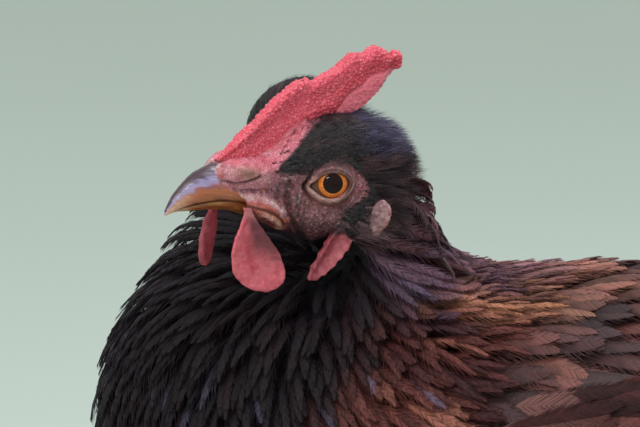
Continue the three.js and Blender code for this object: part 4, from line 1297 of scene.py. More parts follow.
def fused(name, meshes):
    """One closed piece from overlapping closed meshes, so that no seam shows."""
    pieces = [object_of(f"{name}_{i}", mesh) for i, mesh in enumerate(meshes)]
    whole = pieces[0]
    for other in pieces[1:]:
        union = whole.modifiers.new("union", "BOOLEAN")
        union.operation, union.solver, union.object = "UNION", "MANIFOLD", other
        mesh = evaluated_mesh(whole)
        whole.modifiers.clear()
        whole.data = mesh
        bpy.data.objects.remove(other)
    whole.name = whole.data.name = name
    soften(whole.data)
    return whole


def joined_skin():
    """One closed skin: trunk, neck, head and thighs."""
    return fused("skin", [
        body_skin_mesh((0, -63, 200), (0.8, 1.45, 0.85), 400), body_skin_mesh((4, -119, 240), (1, 1, 1), 110),
        head_skin_mesh(), thigh_flesh("left"), thigh_flesh("right")])


def add_skin(finish):
    skin = joined_skin()
    mesh = skin.data
    points = places(mesh)
    local = to_head(points)
    bare = smooth(1.2, 0.2, head_form(points)) * smooth(0.3, -0.7, past_bare_face(local))
    near = bare > 0.001
    # the coat's colour darkened, painted shade where the skin shows between the feathers
    paint = plumage_colour(points) * 0.6
    paint[near] = mix(paint[near], face_paint(onto(face_form, local[near], 0, 2)), bare[near, None])
    store_colour(mesh, paint)
    return finished(skin, finish, "face", "head", "neck", "torso", "thigh_left", "thigh_right")


# ---------- where feathers grow and how they lie ----------

# The bare face's border on the left, as places back and up from the eyes' middle.
FACE_REAR = [(-12.2, 1.6), (-9.5, 1.5), (-7.6, 2.3), (-5.3, 2.9), (-3.4, 3.6),
             (-1.1, 4.2), (1, 4.7), (3.3, 5.0), (5.5, 5.0), (8, 4.2), (10.1, 2.7), (12.3, 0.5), (13, -1.1),
             (12.2, -3.2), (10, -4.4), (8.2, -5.6), (6.6, -7.2), (6.0, -9.3), (6.4, -11.7), (7.0, -14.4),
             (5, -17), (-1, -17.6), (-6, -16.8), (-10, -15.6), (-15, -14), (-20, -14), (-34, -16)]
COMB_SIDE = [(1.3, 22), (1.3, 17.5), (-3.2, 15), (-6, 12.2), (-7.7, 9.5), (-9.5, 6.6), (-12.4, 3.1)]
BARE_LEFT = [(-34, 22), *COMB_SIDE, *FACE_REAR]
BARE_RIGHT = [(-34, 22), (-19, 22), (-18.5, 10), (-15.5, 3), *FACE_REAR]


def past_border(flat, border):
    """Distance of flat places outside a closed border; negative inside it."""
    border = np.array(border, float)
    nearest = np.full(len(flat), 1e3)
    inside = np.zeros(len(flat), bool)
    for a, b in zip(border, np.roll(border, -1, axis=0)):
        along = b - a
        t = np.clip(((flat - a) @ along) / (along @ along), 0, 1)
        nearest = np.minimum(nearest, np.linalg.norm(flat - a - t[:, None] * along, axis=1))
        if a[1] != b[1]:
            crosses = (a[1] > flat[:, 1]) != (b[1] > flat[:, 1])
            inside ^= crosses & (flat[:, 0] < a[0] + (flat[:, 1] - a[1]) * (b[0] - a[0]) / (b[1] - a[1]))
    return np.where(inside, -nearest, nearest)


def past_bare_face(local):
    """How far a place on the head lies outside the bare skin, back over the feathers."""
    side_view = local[:, 1:]
    return np.where(local[:, 0] > 0, past_border(side_view, BARE_LEFT), past_border(side_view, BARE_RIGHT))


def scattered(mesh, spacing, wanted, seed):
    """Evenly spaced places on a mesh, at least a spacing apart, wherever wanted is true."""
    mesh.calc_loop_triangles()
    corners = np.empty(len(mesh.loop_triangles) * 3, np.int32)
    mesh.loop_triangles.foreach_get("vertices", corners)
    a, b, c = (places(mesh)[corners.reshape(-1, 3)[:, k]] for k in range(3))
    use = wanted((a + b + c) / 3)
    a, b, c = a[use], b[use], c[use]
    area = np.linalg.norm(np.cross(b - a, c - a), axis=1) / 2
    chance = np.random.default_rng(seed)
    count = int(area.sum() / spacing**2 * 4)
    pick = chance.choice(len(area), count, p=area / area.sum())
    u, v = chance.random((2, count))
    flip = u + v > 1
    u, v = np.where(flip, 1 - u, u)[:, None], np.where(flip, 1 - v, v)[:, None]
    found = a[pick] + u * (b - a)[pick] + v * (c - a)[pick]
    tree = tree_of(found)
    free = np.ones(count, bool)
    kept = []
    for i in range(count):
        if free[i]:
            kept.append(i)
            for _, j, _ in tree.find_range(found[i], spacing):
                free[j] = False
    return found[kept]


def flow(p):
    """The direction the coat lies in: off the face, down the breast and back over the body."""
    x, y, z = p.T
    local = to_head(p)
    under_jaw = smooth(-7, -15, local[:, 2])[:, None]
    from_beak = p - from_head(mix(np.array([0, -24.0, -2]), np.array([0, 9.0, -9]), under_jaw))
    near_head = smooth(62, 30, np.linalg.norm(p - HEAD_AT, axis=1))
    breast = smooth(-105, -150, y) * smooth(292, 255, z)
    under = smooth(185, 135, z)
    back = np.stack([0.002 * x, 1 + 0 * x, -0.25 + 0.15 * smooth(240, 265, z)], 1)
    down = np.stack([0.004 * x, 0.30 - 0.5 * smooth(225, 265, z), -1 + 0 * x], 1)
    beneath = np.stack([0 * x, 1 + 0 * x, -0.25 + 0 * x], 1)
    neck = np.stack([0.006 * x, 0.6 + 0 * x, -0.8 + 0.35 * smooth(-110, -80, y)], 1)
    course = mix(back, neck, (smooth(225, 262, z) * smooth(-70, -100, y))[:, None])
    course = mix(course, down, breast[:, None])
    course = mix(course, beneath, (under * (1 - breast))[:, None])
    return unit(mix(unit(course), unit(from_beak), near_head[:, None]))


# The coat's outer face.
coat_form = blended([lambda p: head_form(p) - COAT_HEAD / 2, body_form, lambda p: thigh_form(p, 3.0)], 8)


def laid(roots, long, wide, wander=0.10, hug=0.25, lift=0.35, course=flow, seed=SEED):
    """Each feather's root, middle and tip and its half width across, lying along the coat.

    hug is how far below the coat's outer face its middle runs, as a share of the coat's depth.
    """
    chance = np.random.default_rng(seed)
    count = len(roots)
    length = long * (1 + 0.2 * chance.uniform(-1, 1, count))
    out = outward_of(lie_form, roots)
    ahead = course(roots)
    ahead = unit(ahead - out * dot(ahead, out)[:, None])
    across = np.cross(out, ahead)
    turn = chance.normal(0, wander, count)
    ahead = unit(ahead + across * turn[:, None])
    full = np.maximum(lie_form(roots) - coat_form(roots), 0.8)
    bend = unit(ahead + across * chance.normal(0, wander * 0.5, count)[:, None])
    middle = onto(coat_form, roots + ahead * (length * 0.5)[:, None], -hug * full, 3)
    tip = roots + ahead * (length * 0.5)[:, None] + bend * (length * 0.5)[:, None]
    tip = onto(coat_form, tip, -0.3 + lift * chance.normal(0, 1, count), 3)
    facing = outward_of(coat_form, middle)
    across = unit(np.cross(facing, tip - roots))
    roll = chance.normal(0, 0.10, count)
    across = unit(across + facing * roll[:, None])
    half = wide / 2 * (1 + 0.15 * chance.uniform(-1, 1, count))
    return {"root": roots - out * 0.6, "middle": 2 * middle - (roots + tip) / 2, "tip": tip,
            "across": across * half[:, None]}


# ---------- feather patterns: flat shapes, across from -1 to 1 and along from 0 to 1 ----------

def blade_mesh(name, strips):
    """A flat pattern from strips: pairs of edge points (across, along, lift), or one point at a sharp end."""
    points, faces = [], []
    for strip in strips:
        first = len(points)
        for pair in strip:
            points.extend(pair)
        for k in range(len(strip) - 1):
            a = first + 2 * k
            faces.append((a, a + 1, a + 2) if len(strip[k + 1]) == 1 else (a, a + 1, a + 3, a + 2))
    mesh = bpy.data.meshes.new(name)
    mesh.from_pydata(points, [], faces)
    soften(mesh)
    store(mesh, "blade", np.array(points))
    return mesh


def outline(v, narrow):
    """Half the width of a vane at a share of its length, of its widest."""
    v = max(v, 0)
    if v < 0.62:
        return mix(narrow, 1, math.sin(v / 0.62 * math.pi / 2))
    return math.sqrt(max(1 - ((v - 0.62) / 0.40) ** 2, 0.0))


def vane_pattern(name, fringe, solid, seed, climb, narrow, stray, hair, rows):
    """A feather: a closed vane on both sides of its shaft, edged and tipped with fine barbs.

    fringe is the number of loose barbs a side, solid is the closed share of the width, climb is how far
    a barb runs forward, narrow is the width at the root, stray is how much the barbs part, hair is half
    a barb's width at its root, and rows is the number of steps along the closed vane.
    """
    chance = np.random.default_rng(seed)
    strips = []
    for side in (-1, 1):
        closed = []
        for k in range(rows + 1):
            v = 0.94 * k / rows
            half = solid * outline(min(v + 0.5 * climb, 0.99), narrow) * (1 if k < rows else 0.4)
            pair = ((0, v, 0.07), (side * half, min(v + climb * 0.7 * solid, 0.97), 0.02))
            closed.append(pair if side > 0 else pair[::-1])
        strips.append(closed)
        for i in range(fringe):
            v = 0.88 * (i + chance.random()) / fringe - 0.02
            forward = climb * (1 + 0.2 * chance.uniform(-1, 1))
            end = min(v + forward, 0.99)
            reach = side * max(outline(end, narrow), 0.12) * (1 + stray * chance.uniform(-0.16, 0.10))
            start_u = side * solid * 0.8 * outline(min(v + 0.3 * forward, 0.99), narrow)
            start_v = min(v + forward * 0.55 * solid, 0.95)
            sway = stray * chance.normal(0, 0.018)
            dip = stray * chance.normal(0, 0.05)
            strips.append([((start_u, start_v - hair, 0.03), (start_u, start_v + hair, 0.03)),
                           ((reach, end + sway, -0.03 + dip),)])
    for i in range(9):
        aim = mix(-0.42, 0.42, (i + 0.5 * chance.random()) / 8.5)
        wide = hair * 2.2
        top = 0.985 - 0.25 * aim * aim + stray * chance.uniform(-0.03, 0.02)
        dip = stray * chance.normal(0, 0.05)
        foot = ((aim * 0.35 - wide, 0.84, 0.03), (aim * 0.35 + wide, 0.84, 0.03))
        strips.append([foot, ((aim, top, -0.05 + dip),)])
    return blade_mesh(name, strips)


def hair_pattern(name, seed):
    """A tuft of a few tapering hairlike strands."""
    strands, width = 6, 0.13
    chance = np.random.default_rng(seed)
    strips = []
    for i in range(strands):
        aim = mix(-1, 1, (i + chance.random() * 0.8) / strands)
        reach = chance.uniform(0.7, 1.05)
        lift = chance.normal(0, 0.25)
        base = aim * 0.2
        strips.append([((base - width, 0, 0), (base + width, 0, 0)), ((aim, reach, lift),)])
    return blade_mesh(name, strips)


def pattern_set(name, meshes):
    """A collection of patterns for the coat tree to choose from, never shown itself."""
    patterns = bpy.data.collections.new(name)
    for mesh in meshes:
        patterns.objects.link(bpy.data.objects.new(mesh.name, mesh))
    return patterns


VANES = {  # how many patterns, fringe, solid, seed, climb, narrow, stray, hair, rows
    "hackle": (6, 20, 0.42, 60, 0.26, 0.5, 1.0, 0.014, 4),
    "soft": (7, 42, 0.52, 40, 0.22, 0.45, 1.2, 0.0085, 6),
    "fluff": (5, 26, 0.42, 50, 0.26, 0.5, 1.7, 0.012, 4),
    "quill": (4, 44, 0.93, 80, 0.11, 0.6, 0.3, 0.009, 12),
    "covert": (6, 48, 0.7, 90, 0.18, 0.5, 0.9, 0.009, 8),
    "edging": (7, 40, 0.45, 120, 0.26, 0.45, 1.5, 0.0085, 5),
    "tail_quill": (4, 60, 0.9, 110, 0.09, 0.65, 0.3, 0.008, 14),
    "tail_covert": (6, 28, 0.75, 120, 0.15, 0.5, 0.8, 0.011, 8),
}


def vane_set(name):
    """Feather patterns of one kind, alike but for chance."""
    count, fringe, solid, seed, *shape = VANES[name]
    meshes = [vane_pattern(f"{name}_{k}", fringe, solid, seed + k, *shape) for k in range(count)]
    return pattern_set(f"{name}_patterns", meshes)


# ---------- the coat tree: sets a pattern at every root and bends it along its line ----------

def coat_tree():
    tree = bpy.data.node_groups.new("coat_of_feathers", "GeometryNodeTree")
    for name, kind in (("Roots", "Geometry"), ("Patterns", "Collection"), ("Finish", "Material"),
                       ("Camber", "Float"), ("Patch", "Float")):
        tree.interface.new_socket(name, in_out="INPUT", socket_type=f"NodeSocket{kind}")
    tree.interface.new_socket("Feathers", in_out="OUTPUT", socket_type="NodeSocketGeometry")

    def node(kind, settings=(), **inputs):
        return add_node(tree, kind, settings, inputs)

    def named(name, kind="FLOAT_VECTOR"):
        return node("GeometryNodeInputNamedAttribute", {"data_type": kind}, Name=name).outputs["Attribute"]

    def vector(operation, *sockets):
        made = node("ShaderNodeVectorMath", {"operation": operation},
                    **{f"i{k}": socket for k, socket in enumerate(sockets)})
        return made.outputs["Value" if operation == "LENGTH" else "Vector"]

    def scaled(socket, by):
        return node("ShaderNodeVectorMath", {"operation": "SCALE"}, i0=socket, Scale=by).outputs["Vector"]

    def number(operation, a, b):
        return node("ShaderNodeMath", {"operation": operation}, i0=a, i1=b).outputs[0]

    def between(a, b, share):
        return vector("ADD", a, scaled(vector("SUBTRACT", b, a), share))

    entry = node("NodeGroupInput").outputs
    patterns = node("GeometryNodeCollectionInfo", {"transform_space": "ORIGINAL"},
                    Collection=entry["Patterns"], Separate_Children=True, Reset_Children=True)
    on_roots = node("GeometryNodeInstanceOnPoints", Points=entry["Roots"], Instance=patterns.outputs[0],
                    Pick_Instance=True, Instance_Index=named("pattern", "INT"))
    real = node("GeometryNodeRealizeInstances", Geometry=on_roots.outputs[0]).outputs[0]

    blade = node("ShaderNodeSeparateXYZ", Vector=named("blade")).outputs
    root, middle, tip, across = (named(name) for name in ("root", "middle", "tip", "across"))
    first, second = between(root, middle, blade[1]), between(middle, tip, blade[1])
    on_line = between(first, second, blade[1])
    upright = vector("NORMALIZE", vector("CROSS_PRODUCT", vector("SUBTRACT", second, first), across))
    half = vector("LENGTH", across)
    bowed = number("MULTIPLY", number("MULTIPLY", blade[0], blade[0]), entry["Camber"])
    lift = number("MULTIPLY", number("SUBTRACT", blade[2], bowed), half)
    place = vector("ADD", vector("ADD", on_line, scaled(across, blade[0])), scaled(upright, lift))
    placed = node("GeometryNodeSetPosition", Geometry=real, Position=place).outputs[0]
    patch = vector("ADD", named("patch"), scaled(named("blade"), entry["Patch"]))
    mapped = node("GeometryNodeStoreNamedAttribute", {"data_type": "FLOAT2", "domain": "CORNER"},
                  Geometry=placed, Name="OFBake", Value=patch).outputs[0]
    done = node("GeometryNodeSetMaterial", Geometry=mapped, Material=entry["Finish"]).outputs[0]
    node("NodeGroupOutput", Feathers=done)
    return tree


COAT_TREE = coat_tree()
PATCH = 0.003  # how wide each feather's own patch is on the piece's map


def skin_map(points, middle, axis, spread=0.98):
    """The skin round an axis laid out flat: the turn round it, and the run along it, from 0 to 1."""
    axis = unit(np.array(axis, float))
    right = unit(np.cross(axis, (0.03, 0.02, 1) if abs(axis[2]) < 0.9 else (0, 1, 0.02)))
    up = np.cross(right, axis)
    d = points - np.array(middle, float)
    turn = np.arctan2(dot(d, right), dot(d, up)) / (2 * math.pi) + 0.5
    run = dot(d, axis) + 0.35 * np.linalg.norm(d - dot(d, axis)[:, None] * axis, axis=1)
    run = (run - run.min()) / max(run.max() - run.min(), 1e-6)
    return np.stack([0.01 + spread * turn, 0.01 + spread * run], 1)


def feathered(name, lines, patterns, finish, slot, tint, tip_tint, on_map, camber=0.25, seed=SEED):
    """Makes one piece of coat from the feathers' lines, by the coat tree."""
    chance = np.random.default_rng(seed)
    count = len(lines["root"])
    roots = bpy.data.meshes.new(name)
    roots.from_pydata((lines["root"] * MM).tolist(), [], [])
    for key in ("root", "middle", "tip", "across"):
        store(roots, key, lines[key] * MM)
    store(roots, "patch", np.column_stack([on_map, np.zeros(count)]))
    store_colour(roots, tint, "tint")
    store_colour(roots, tip_tint, "tip_tint")
    roots.attributes.new("pattern", "INT", "POINT").data.foreach_set(
        "value", chance.integers(0, len(patterns.objects), count).astype(np.int32))
    draft = object_of(f"{name}_roots", roots)
    growth = draft.modifiers.new("growth", "NODES")
    growth.node_group = COAT_TREE
    entries = [item for item in COAT_TREE.interface.items_tree if item.in_out == "INPUT"]
    sockets = {item.name: item.identifier for item in entries}
    for label, value in {"Patterns": patterns, "Finish": finish, "Camber": camber, "Patch": PATCH}.items():
        growth[sockets[label]] = value
    mesh = evaluated_mesh(draft)
    bpy.data.objects.remove(draft)
    mesh.name = name
    for key in ("root", "middle", "tip", "across", "patch", "pattern"):
        if key in mesh.attributes:
            mesh.attributes.remove(mesh.attributes[key])
    finished(object_of(name, mesh), finish, slot)


def feather_finish(name, roughness, sheen, sheen_colour, barbs, gloss=0.12):
    """Barbs fanned to both sides of the shaft, each with its own shade, paler to the tip and edges."""
    f = Finish(name)
    blade = f.node("ShaderNodeSeparateXYZ", Vector=f.attribute("blade", "Vector")).outputs
    out = f.math("ABSOLUTE", blade[0])
    fan = f.math("SUBTRACT", f.math("MULTIPLY", blade[1], barbs * 2.2), f.math("MULTIPLY", out, barbs * 0.5))
    stripes = f.node("ShaderNodeCombineXYZ", X=fan, Y=f.math("MULTIPLY", blade[0], 1.3)).outputs[0]
    flat = {"noise_dimensions": "2D"}
    strand = f.node("ShaderNodeTexNoise", flat, Vector=stripes, Scale=1.0, Detail=2.0).outputs[0]
    to_edge = f.math("MAXIMUM", blade[1], f.math("MULTIPLY", out, 0.85))
    outer = f.ramp(f.math("ADD", to_edge, f.math("MULTIPLY", strand, 0.3)), 0.55, 1.2)
    colour = f.blend(outer, f.attribute("tint"), f.attribute("tip_tint"))
    colour = f.blend(f.ramp(strand, 0.38, 0.66, 0.0, 0.75), colour, f.blend(0.75, colour, (0.0, 0.0, 0.0)))
    f.set(Base_Color=colour, Roughness=roughness, Specular_IOR_Level=gloss, Normal=f.relief(strand, 0.2, 0.4),
          Sheen_Weight=sheen, Sheen_Roughness=0.35, Sheen_Tint=sheen_colour)
    return f.material


# ---------- the coat's pieces ----------

def tinted(colour, seed, spread=0.35):
    """Each feather a little lighter or darker than its neighbours."""
    chance = np.random.default_rng(seed)
    return colour * (1 + spread * chance.uniform(-1, 1, len(colour)))[:, None]


def with_painted_gloss(colour, roots, seed):
    """Here and there a feather on the breast with a painted blue highlight in its colour, standing for its
    gloss.
    """
    chance = np.random.default_rng(seed + 500)
    _, y, z = roots.T
    painted_glints = (chance.random(len(roots)) < 0.04) & (y < -98) & (z < 262) & (z > 205)
    # painted blue-violet highlight mixed into a few feathers' colour
    return painted(roots, colour, (chance.uniform(0.15, 0.5, len(roots)) * painted_glints, (0.11, 0.105, 0.17)))


def on_head(p):
    return head_form(p) < flesh_form(p)


def wing_covered(p):
    """True where a folded wing hides the skin."""
    x, y, z = p.T
    return (np.abs(x) > 46) & (y > -74) & (y < 62) & (z > 176) & (z < 246)


def add_coat(skin):
    hairs = pattern_set("hair_patterns", [hair_pattern(f"hair_{k}", 20 + k) for k in range(6)])
    hackle, soft, fluff = vane_set("hackle"), vane_set("soft"), vane_set("fluff")
    hair_like = feather_finish("head_feathers", 0.55, 0.12, (0.36, 0.33, 0.75), 6.0)
    dark = feather_finish("hackle_feathers", 0.5, 0.04, (0.40, 0.38, 0.8), 10.0, 0.08)
    down = feather_finish("cheek_down", 0.5, 0.1, (0.9, 0.75, 0.75), 4.0)
    brown = feather_finish("mahogany_feathers", 0.46, 0.05, (0.8, 0.6, 0.75), 16.0, 0.16)

    def region(name, spacing, wanted, long, wide, patterns, finish, slot,
               tips=1.15, seed=SEED, spread=0.3, **lie):
        roots = scattered(skin, spacing, wanted, seed)
        lines = laid(roots, long, wide, seed=seed, **lie)
        seen = (lines["middle"] + lines["tip"]) / 2
        if slot == "face":
            colour, middle, axis = head_hair_colour(seen), HEAD_AT, HEAD[:, 1]
        else:
            colour, middle, axis = plumage_colour(seen), (0, -60, 200), (0, 1, 0)
        if finish is down:
            colour = painted(roots, (0.22, 0.13, 0.13))
        colour = with_painted_gloss(tinted(colour, seed, spread), roots, seed)
        on_map = skin_map(roots, middle, axis)
        edges = colour * tips + (0.0 if tips < 1.4 else 0.025) * colour.max(1, keepdims=True) ** 0.3
        feathered(name, lines, patterns, finish, slot, colour, edges, on_map, seed=seed)

    def past_face(p):
        return past_bare_face(to_head(p)) + 0.8 * rough_noise(p, 1.6, 2)

    def skull(p):
        return on_head(p) & (head_form(p) < 1.2)

    def head_hair(p):
        return skull(p) & (past_face(p) > -0.2)

    def bristly(p):
        return skull(p) & (past_face(p) < 0) & (past_face(p) > -2.6)

    def downy(p):
        y, z = to_head(p).T[1:]
        return skull(p) & (past_face(p) < -0.6) & (z < -6) & (y > -8) & (y < 6)

    def neck(p):
        near_head = np.linalg.norm(p - HEAD_AT, axis=1) < 70 + 14 * rough_noise(p, 14.0, 2)
        return ~skull(p) & (lie_form(p) < 2) & (p[:, 2] > 222) & (p[:, 1] < -62) & near_head \
            & (past_bare_face(to_head(p)) > -0.3)

    def neck_left(p):
        return neck(p) & (p[:, 0] > 6)

    def neck_right(p):
        return neck(p) & (p[:, 0] <= 6)

    def trunk(p):
        return ~on_head(p) & ~neck(p)

    def shoulder(p):
        x, y, z = p.T
        return trunk(p) & (y < -92) & (y > -122) & (z > 150) & (np.abs(x) > 34)

    def breast(p):
        return trunk(p) & (p[:, 1] < -100) & (p[:, 2] > 128) & ~shoulder(p)

    def back(p):
        return trunk(p) & (p[:, 1] > -100) & (p[:, 2] > 222) & ~wing_covered(p) & ~shoulder(p)

    def thigh(p):
        return (thigh_form(p) < 1.2) & (flesh_form(p) > 0.3)

    def flank(side):
        return lambda p: ((p[:, 1] > -100) & (p[:, 2] <= 222) & (p[:, 2] > 122) & ~wing_covered(p)
                          & ((p[:, 0] > 0) == (side > 0)) & ~thigh(p) & ~shoulder(p))

    def belly(p):
        return (p[:, 2] <= 128) & ~thigh(p) & ((p[:, 1] < -100) | (p[:, 2] <= 122))

    region("coat_head", 0.85, head_hair, 10, 2.2, hairs, hair_like, "face", tips=2.4, spread=0.9,
           lift=0.4, wander=0.16)
    region("face_bristles", 1.1, bristly, 4.5, 0.9, hairs, hair_like, "face", tips=1.5, spread=0.6,
           lift=0.25, wander=0.3)
    region("cheek_down", 1.0, downy, 2.2, 0.6, hairs, down, "face", tips=1.5, spread=0.8,
           lift=0.2, wander=0.3)
    region("coat_neck_left", 2.5, neck_left, 23, 6.4, hackle, dark, "hackle")
    region("coat_neck_right", 2.7, neck_right, 23, 6.4, hackle, dark, "hackle")
    region("coat_breast", 5.4, breast, 32, 15, soft, dark, "body_plumage", tips=1.1, seed=SEED + 1, lift=0.2)
    region("coat_shoulders", 5.0, shoulder, 30, 14, soft, brown, "body_plumage", tips=1.7, seed=SEED + 6,
           wander=0.22)
    region("coat_back", 4.7, back, 30, 12.5, soft, brown, "body_plumage", tips=1.8, seed=SEED + 2,
           wander=0.18)
    for side, sign in SIDES.items():
        region(f"coat_flank_{side}", 5.6, flank(sign), 38, 18, fluff, brown, "body_plumage", seed=SEED + 3)
    region("coat_belly", 5.0, belly, 30, 14, fluff, brown, "body_plumage", seed=SEED + 4)
    region("coat_thighs", 3.2, thigh, 17, 8, fluff, brown, "body_plumage", seed=SEED + 5, lift=0.6,
           course=lambda p: np.tile((0.0, 0.35, -1.0), (len(p), 1)))


# ---------- wings: a surface round the trunk, and rows of feathers on it ----------

WING_RADIUS, WING_REACH, WING_Z = 80, 156, 204


def wing_sheet(y, w, lift, sign):
    """A place on the folded wing's surface: y along the body, w up round it, both in millimetres."""
    radius = WING_RADIUS * np.sqrt(np.maximum(1 - ((y + 33) / WING_REACH) ** 2, 0)) + lift
    angle = w / WING_RADIUS
    return np.stack([sign * radius * np.cos(angle), y, WING_Z + radius * np.sin(angle)], -1)


def wing_arm_mesh(name, sign):
    """The fleshy part of the wing under its coverts, an oval pad."""
    y, w, long, deep, thick, drop = -52, 11, 148, 100, 18, 4
    turn = full_turn(72)
    rings = []
    for lift, shares in ((-3.0, np.linspace(0.02, 1, 18)), (-3.0 - thick, np.linspace(1, 0.02, 10))):
        for share in shares:
            a, b = share * np.cos(turn), share * np.sin(turn)
            rings.append(wing_sheet(y + a * long / 2, w + b * deep / 2, lift - drop * share**6, sign))
    return tube_mesh(name, rings)


def bent_lines(root, middle, tip, across):
    """Feathers' lines that pass through their middles."""
    return {"root": root, "middle": 2 * middle - (root + tip) / 2, "tip": tip, "across": across}


def wing_lines(start, end, count, long, aim, wide, rise, sign, seed, wander=0.03, stagger=0.0):
    """Feathers whose quills lie evenly from one place on the wing to another."""
    chance = np.random.default_rng(seed)
    t = (np.arange(count) + stagger) / max(count - 1 + 2 * stagger, 1)
    y, w = mix(start[0], end[0], t), mix(start[1], end[1], t)
    length = mix(long[0], long[1], t) * (1 + 0.06 * chance.uniform(-1, 1, count))
    turn = np.radians(mix(aim[0], aim[1], t)) + chance.normal(0, wander, count)
    c, s = np.cos(turn), np.sin(turn)

    def at(share, lift, beside=0):
        return wing_sheet(y + share * length * c - beside * s, w + share * length * s + beside * c,
                          mix(rise[0], rise[1], share) + lift, sign)

    root, middle, tip = (at(share, chance.normal(0, 0.18, count)) for share in (0, 0.5, 1))
    across = unit(at(0.5, -0.25, 2) - at(0.5, 0))
    share_of_width = (1 + 0.06 * chance.uniform(-1, 1, count))[:, None]
    return bent_lines(root, middle, tip, across * wide / 2 * share_of_width)


def together(*groups):
    return {key: np.vstack([group[key] for group in groups]) for key in groups[0]}


WING_COVERTS = [  # first and last quill (y, w), count, lengths, aims, width, rise
    ((-55, -28), (-26, 40), 12, (46, 44), (5, -3), 12.5, (-2.4, 0.6)),
    ((-67, -27), (-38, 40), 12, (38, 37), (6, -4), 13.5, (-2.0, 1.2)),
    ((-77, -25), (-48, 40), 11, (34, 33), (6, -4), 14, (-1.8, 1.7)),
    ((-86, -23), (-57, 39), 11, (31, 30), (7, -5), 13.5, (-1.7, 2.0)),
    ((-94, -21), (-66, 37), 10, (29, 28), (7, -5), 13, (-1.6, 2.2)),
    ((-101, -18), (-75, 35), 9, (27, 27), (8, -5), 13, (-1.8, 2.2)),
    ((-108, -14), (-84, 33), 8, (26, 26), (8, -6), 12.5, (-2.2, 2.2)),
    ((-114, -8), (-93, 30), 6, (26, 26), (8, -6), 12.5, (-2.8, 2.0)),
]
SCAPULARS = [
    ((-26, 50), (2, 51), 5, (48, 44), (-3, 0), 15, (-3.0, 2.2)),
    ((-46, 49), (-30, 51), 4, (42, 42), (-4, -2), 15, (-2.8, 2.8)),
    ((-64, 47), (-52, 50), 3, (38, 38), (-5, -3), 15, (-2.8, 3.0)),
]


def small_coverts(sign):
    """Soft feathers in close rows over the front of the wing and along its upper edge."""
    rows = []
    for k, t in enumerate(np.linspace(0, 1, 18)):
        start = (mix(-117, -44, t), mix(-9, -27, smooth(0, 0.5, t)))
        end = (mix(-92, 0, t), mix(32, 51, smooth(0, 0.6, t)))
        rise = (mix(-0.4, 2.6, t), mix(3.8, 5.4, t))
        rows.append(wing_lines(start, end, 21, (29, 33), (9, -7), 10.5, rise, sign, 60 + k,
                               wander=0.17, stagger=0.5 * (k % 2)))
    return together(*rows)


def add_wings():
    quills, coverts, edging = vane_set("quill"), vane_set("covert"), vane_set("edging")
    smooth_vanes = feather_finish("wing_feathers", 0.5, 0.02, (0.8, 0.6, 0.8), 26.0, 0.06)
    arm = bare_skin_finish()
    arm.name = "wing_arm_skin"
    for side, sign in SIDES.items():
        mesh = wing_arm_mesh(f"wing_arm_{side}", sign)
        add_piece(mesh, painted(mesh.vertices, (0.05, 0.02, 0.018)), arm, "wing_plumage", f"wing_{side}")
        flight = together(
            wing_lines((-15, -20), (-5, 10), 7, (86, 80), (5, 4), 16, (-6.0, -3.8), sign, 3),
            wing_lines((-45, -32), (-5, 40), 12, (70, 58), (5, -3), 21, (-3.6, -1.4), sign, 4))
        rows = [wing_lines(*row, sign, 10 + k, 0.05, 0.25 * (k % 2)) for k, row in enumerate(WING_COVERTS)]
        rows += [wing_lines(*row, sign, 40 + k, 0.05) for k, row in enumerate(SCAPULARS)]
        for name, lines, patterns, camber in (
                ("wing_quills", flight, quills, 0.16),
                ("wing_coverts", together(*rows), coverts, 0.2),
                ("wing_edge_coverts", small_coverts(sign), edging, 0.25)):
            colour = tinted(mahogany_colour(lines["middle"]), 7, 0.35)
            if patterns is quills:
                colour = mix(colour, np.array((0.03, 0.014, 0.012)), 0.45)
            on_map = np.stack([(lines["root"][:, 1] + 125) / 180, (lines["root"][:, 2] - 140) / 130], 1)
            tips = tinted(mahogany_colour(lines["tip"]), 8, 0.35) * (1.3, 1.2, 1.2)
            feathered(f"{name}_{side}", lines, patterns, smooth_vanes, "wing_plumage", colour, tips, on_map,
                      camber=camber)


# ---------- tail: a tent of long feathers, with coverts over their quills ----------

TAIL_RIDGE, TAIL_RISE, TAIL_TENT = 12, math.radians(42), math.radians(27)


def tail_sheet(a, b, depth, sign):
    """A place on one side of the tail: a up along it, b down from its ridge."""
    flare = 0.0005 * a * a * np.clip(b / 40, 0, 1)
    down = b * math.cos(TAIL_TENT) - depth * math.sin(TAIL_TENT)
    return np.stack([
        sign * (1 + b * math.sin(TAIL_TENT) + depth * math.cos(TAIL_TENT) + flare),
        TAIL_AT[1] + a * math.cos(TAIL_RISE) + down * math.sin(TAIL_RISE),
        TAIL_AT[2] + TAIL_RIDGE + a * math.sin(TAIL_RISE) - down * math.cos(TAIL_RISE)], -1)


def tail_lines(count, long, wide, step, spread, start, layer, over, sign, seed):
    chance = np.random.default_rng(seed)
    t = np.linspace(0, 1, count)
    turn = np.radians(mix(step[0], step[1], t)) + chance.normal(0, 0.02, count)
    c, s = np.cos(turn), np.sin(turn)
    top = mix(spread[0], spread[1], t)
    length = mix(long[0], long[1], t) * (1 + 0.04 * chance.uniform(-1, 1, count))
    depth = over - layer * np.arange(count)

    def at(share, beside=0.0):
        a = share * length
        return tail_sheet(start + a * c - beside * s, top + a * s + beside * c, depth + 0.02 * a, sign)

    across = unit(at(0.5, 2.0) - at(0.5))
    return bent_lines(at(0), at(0.5), at(1), across * wide / 2)


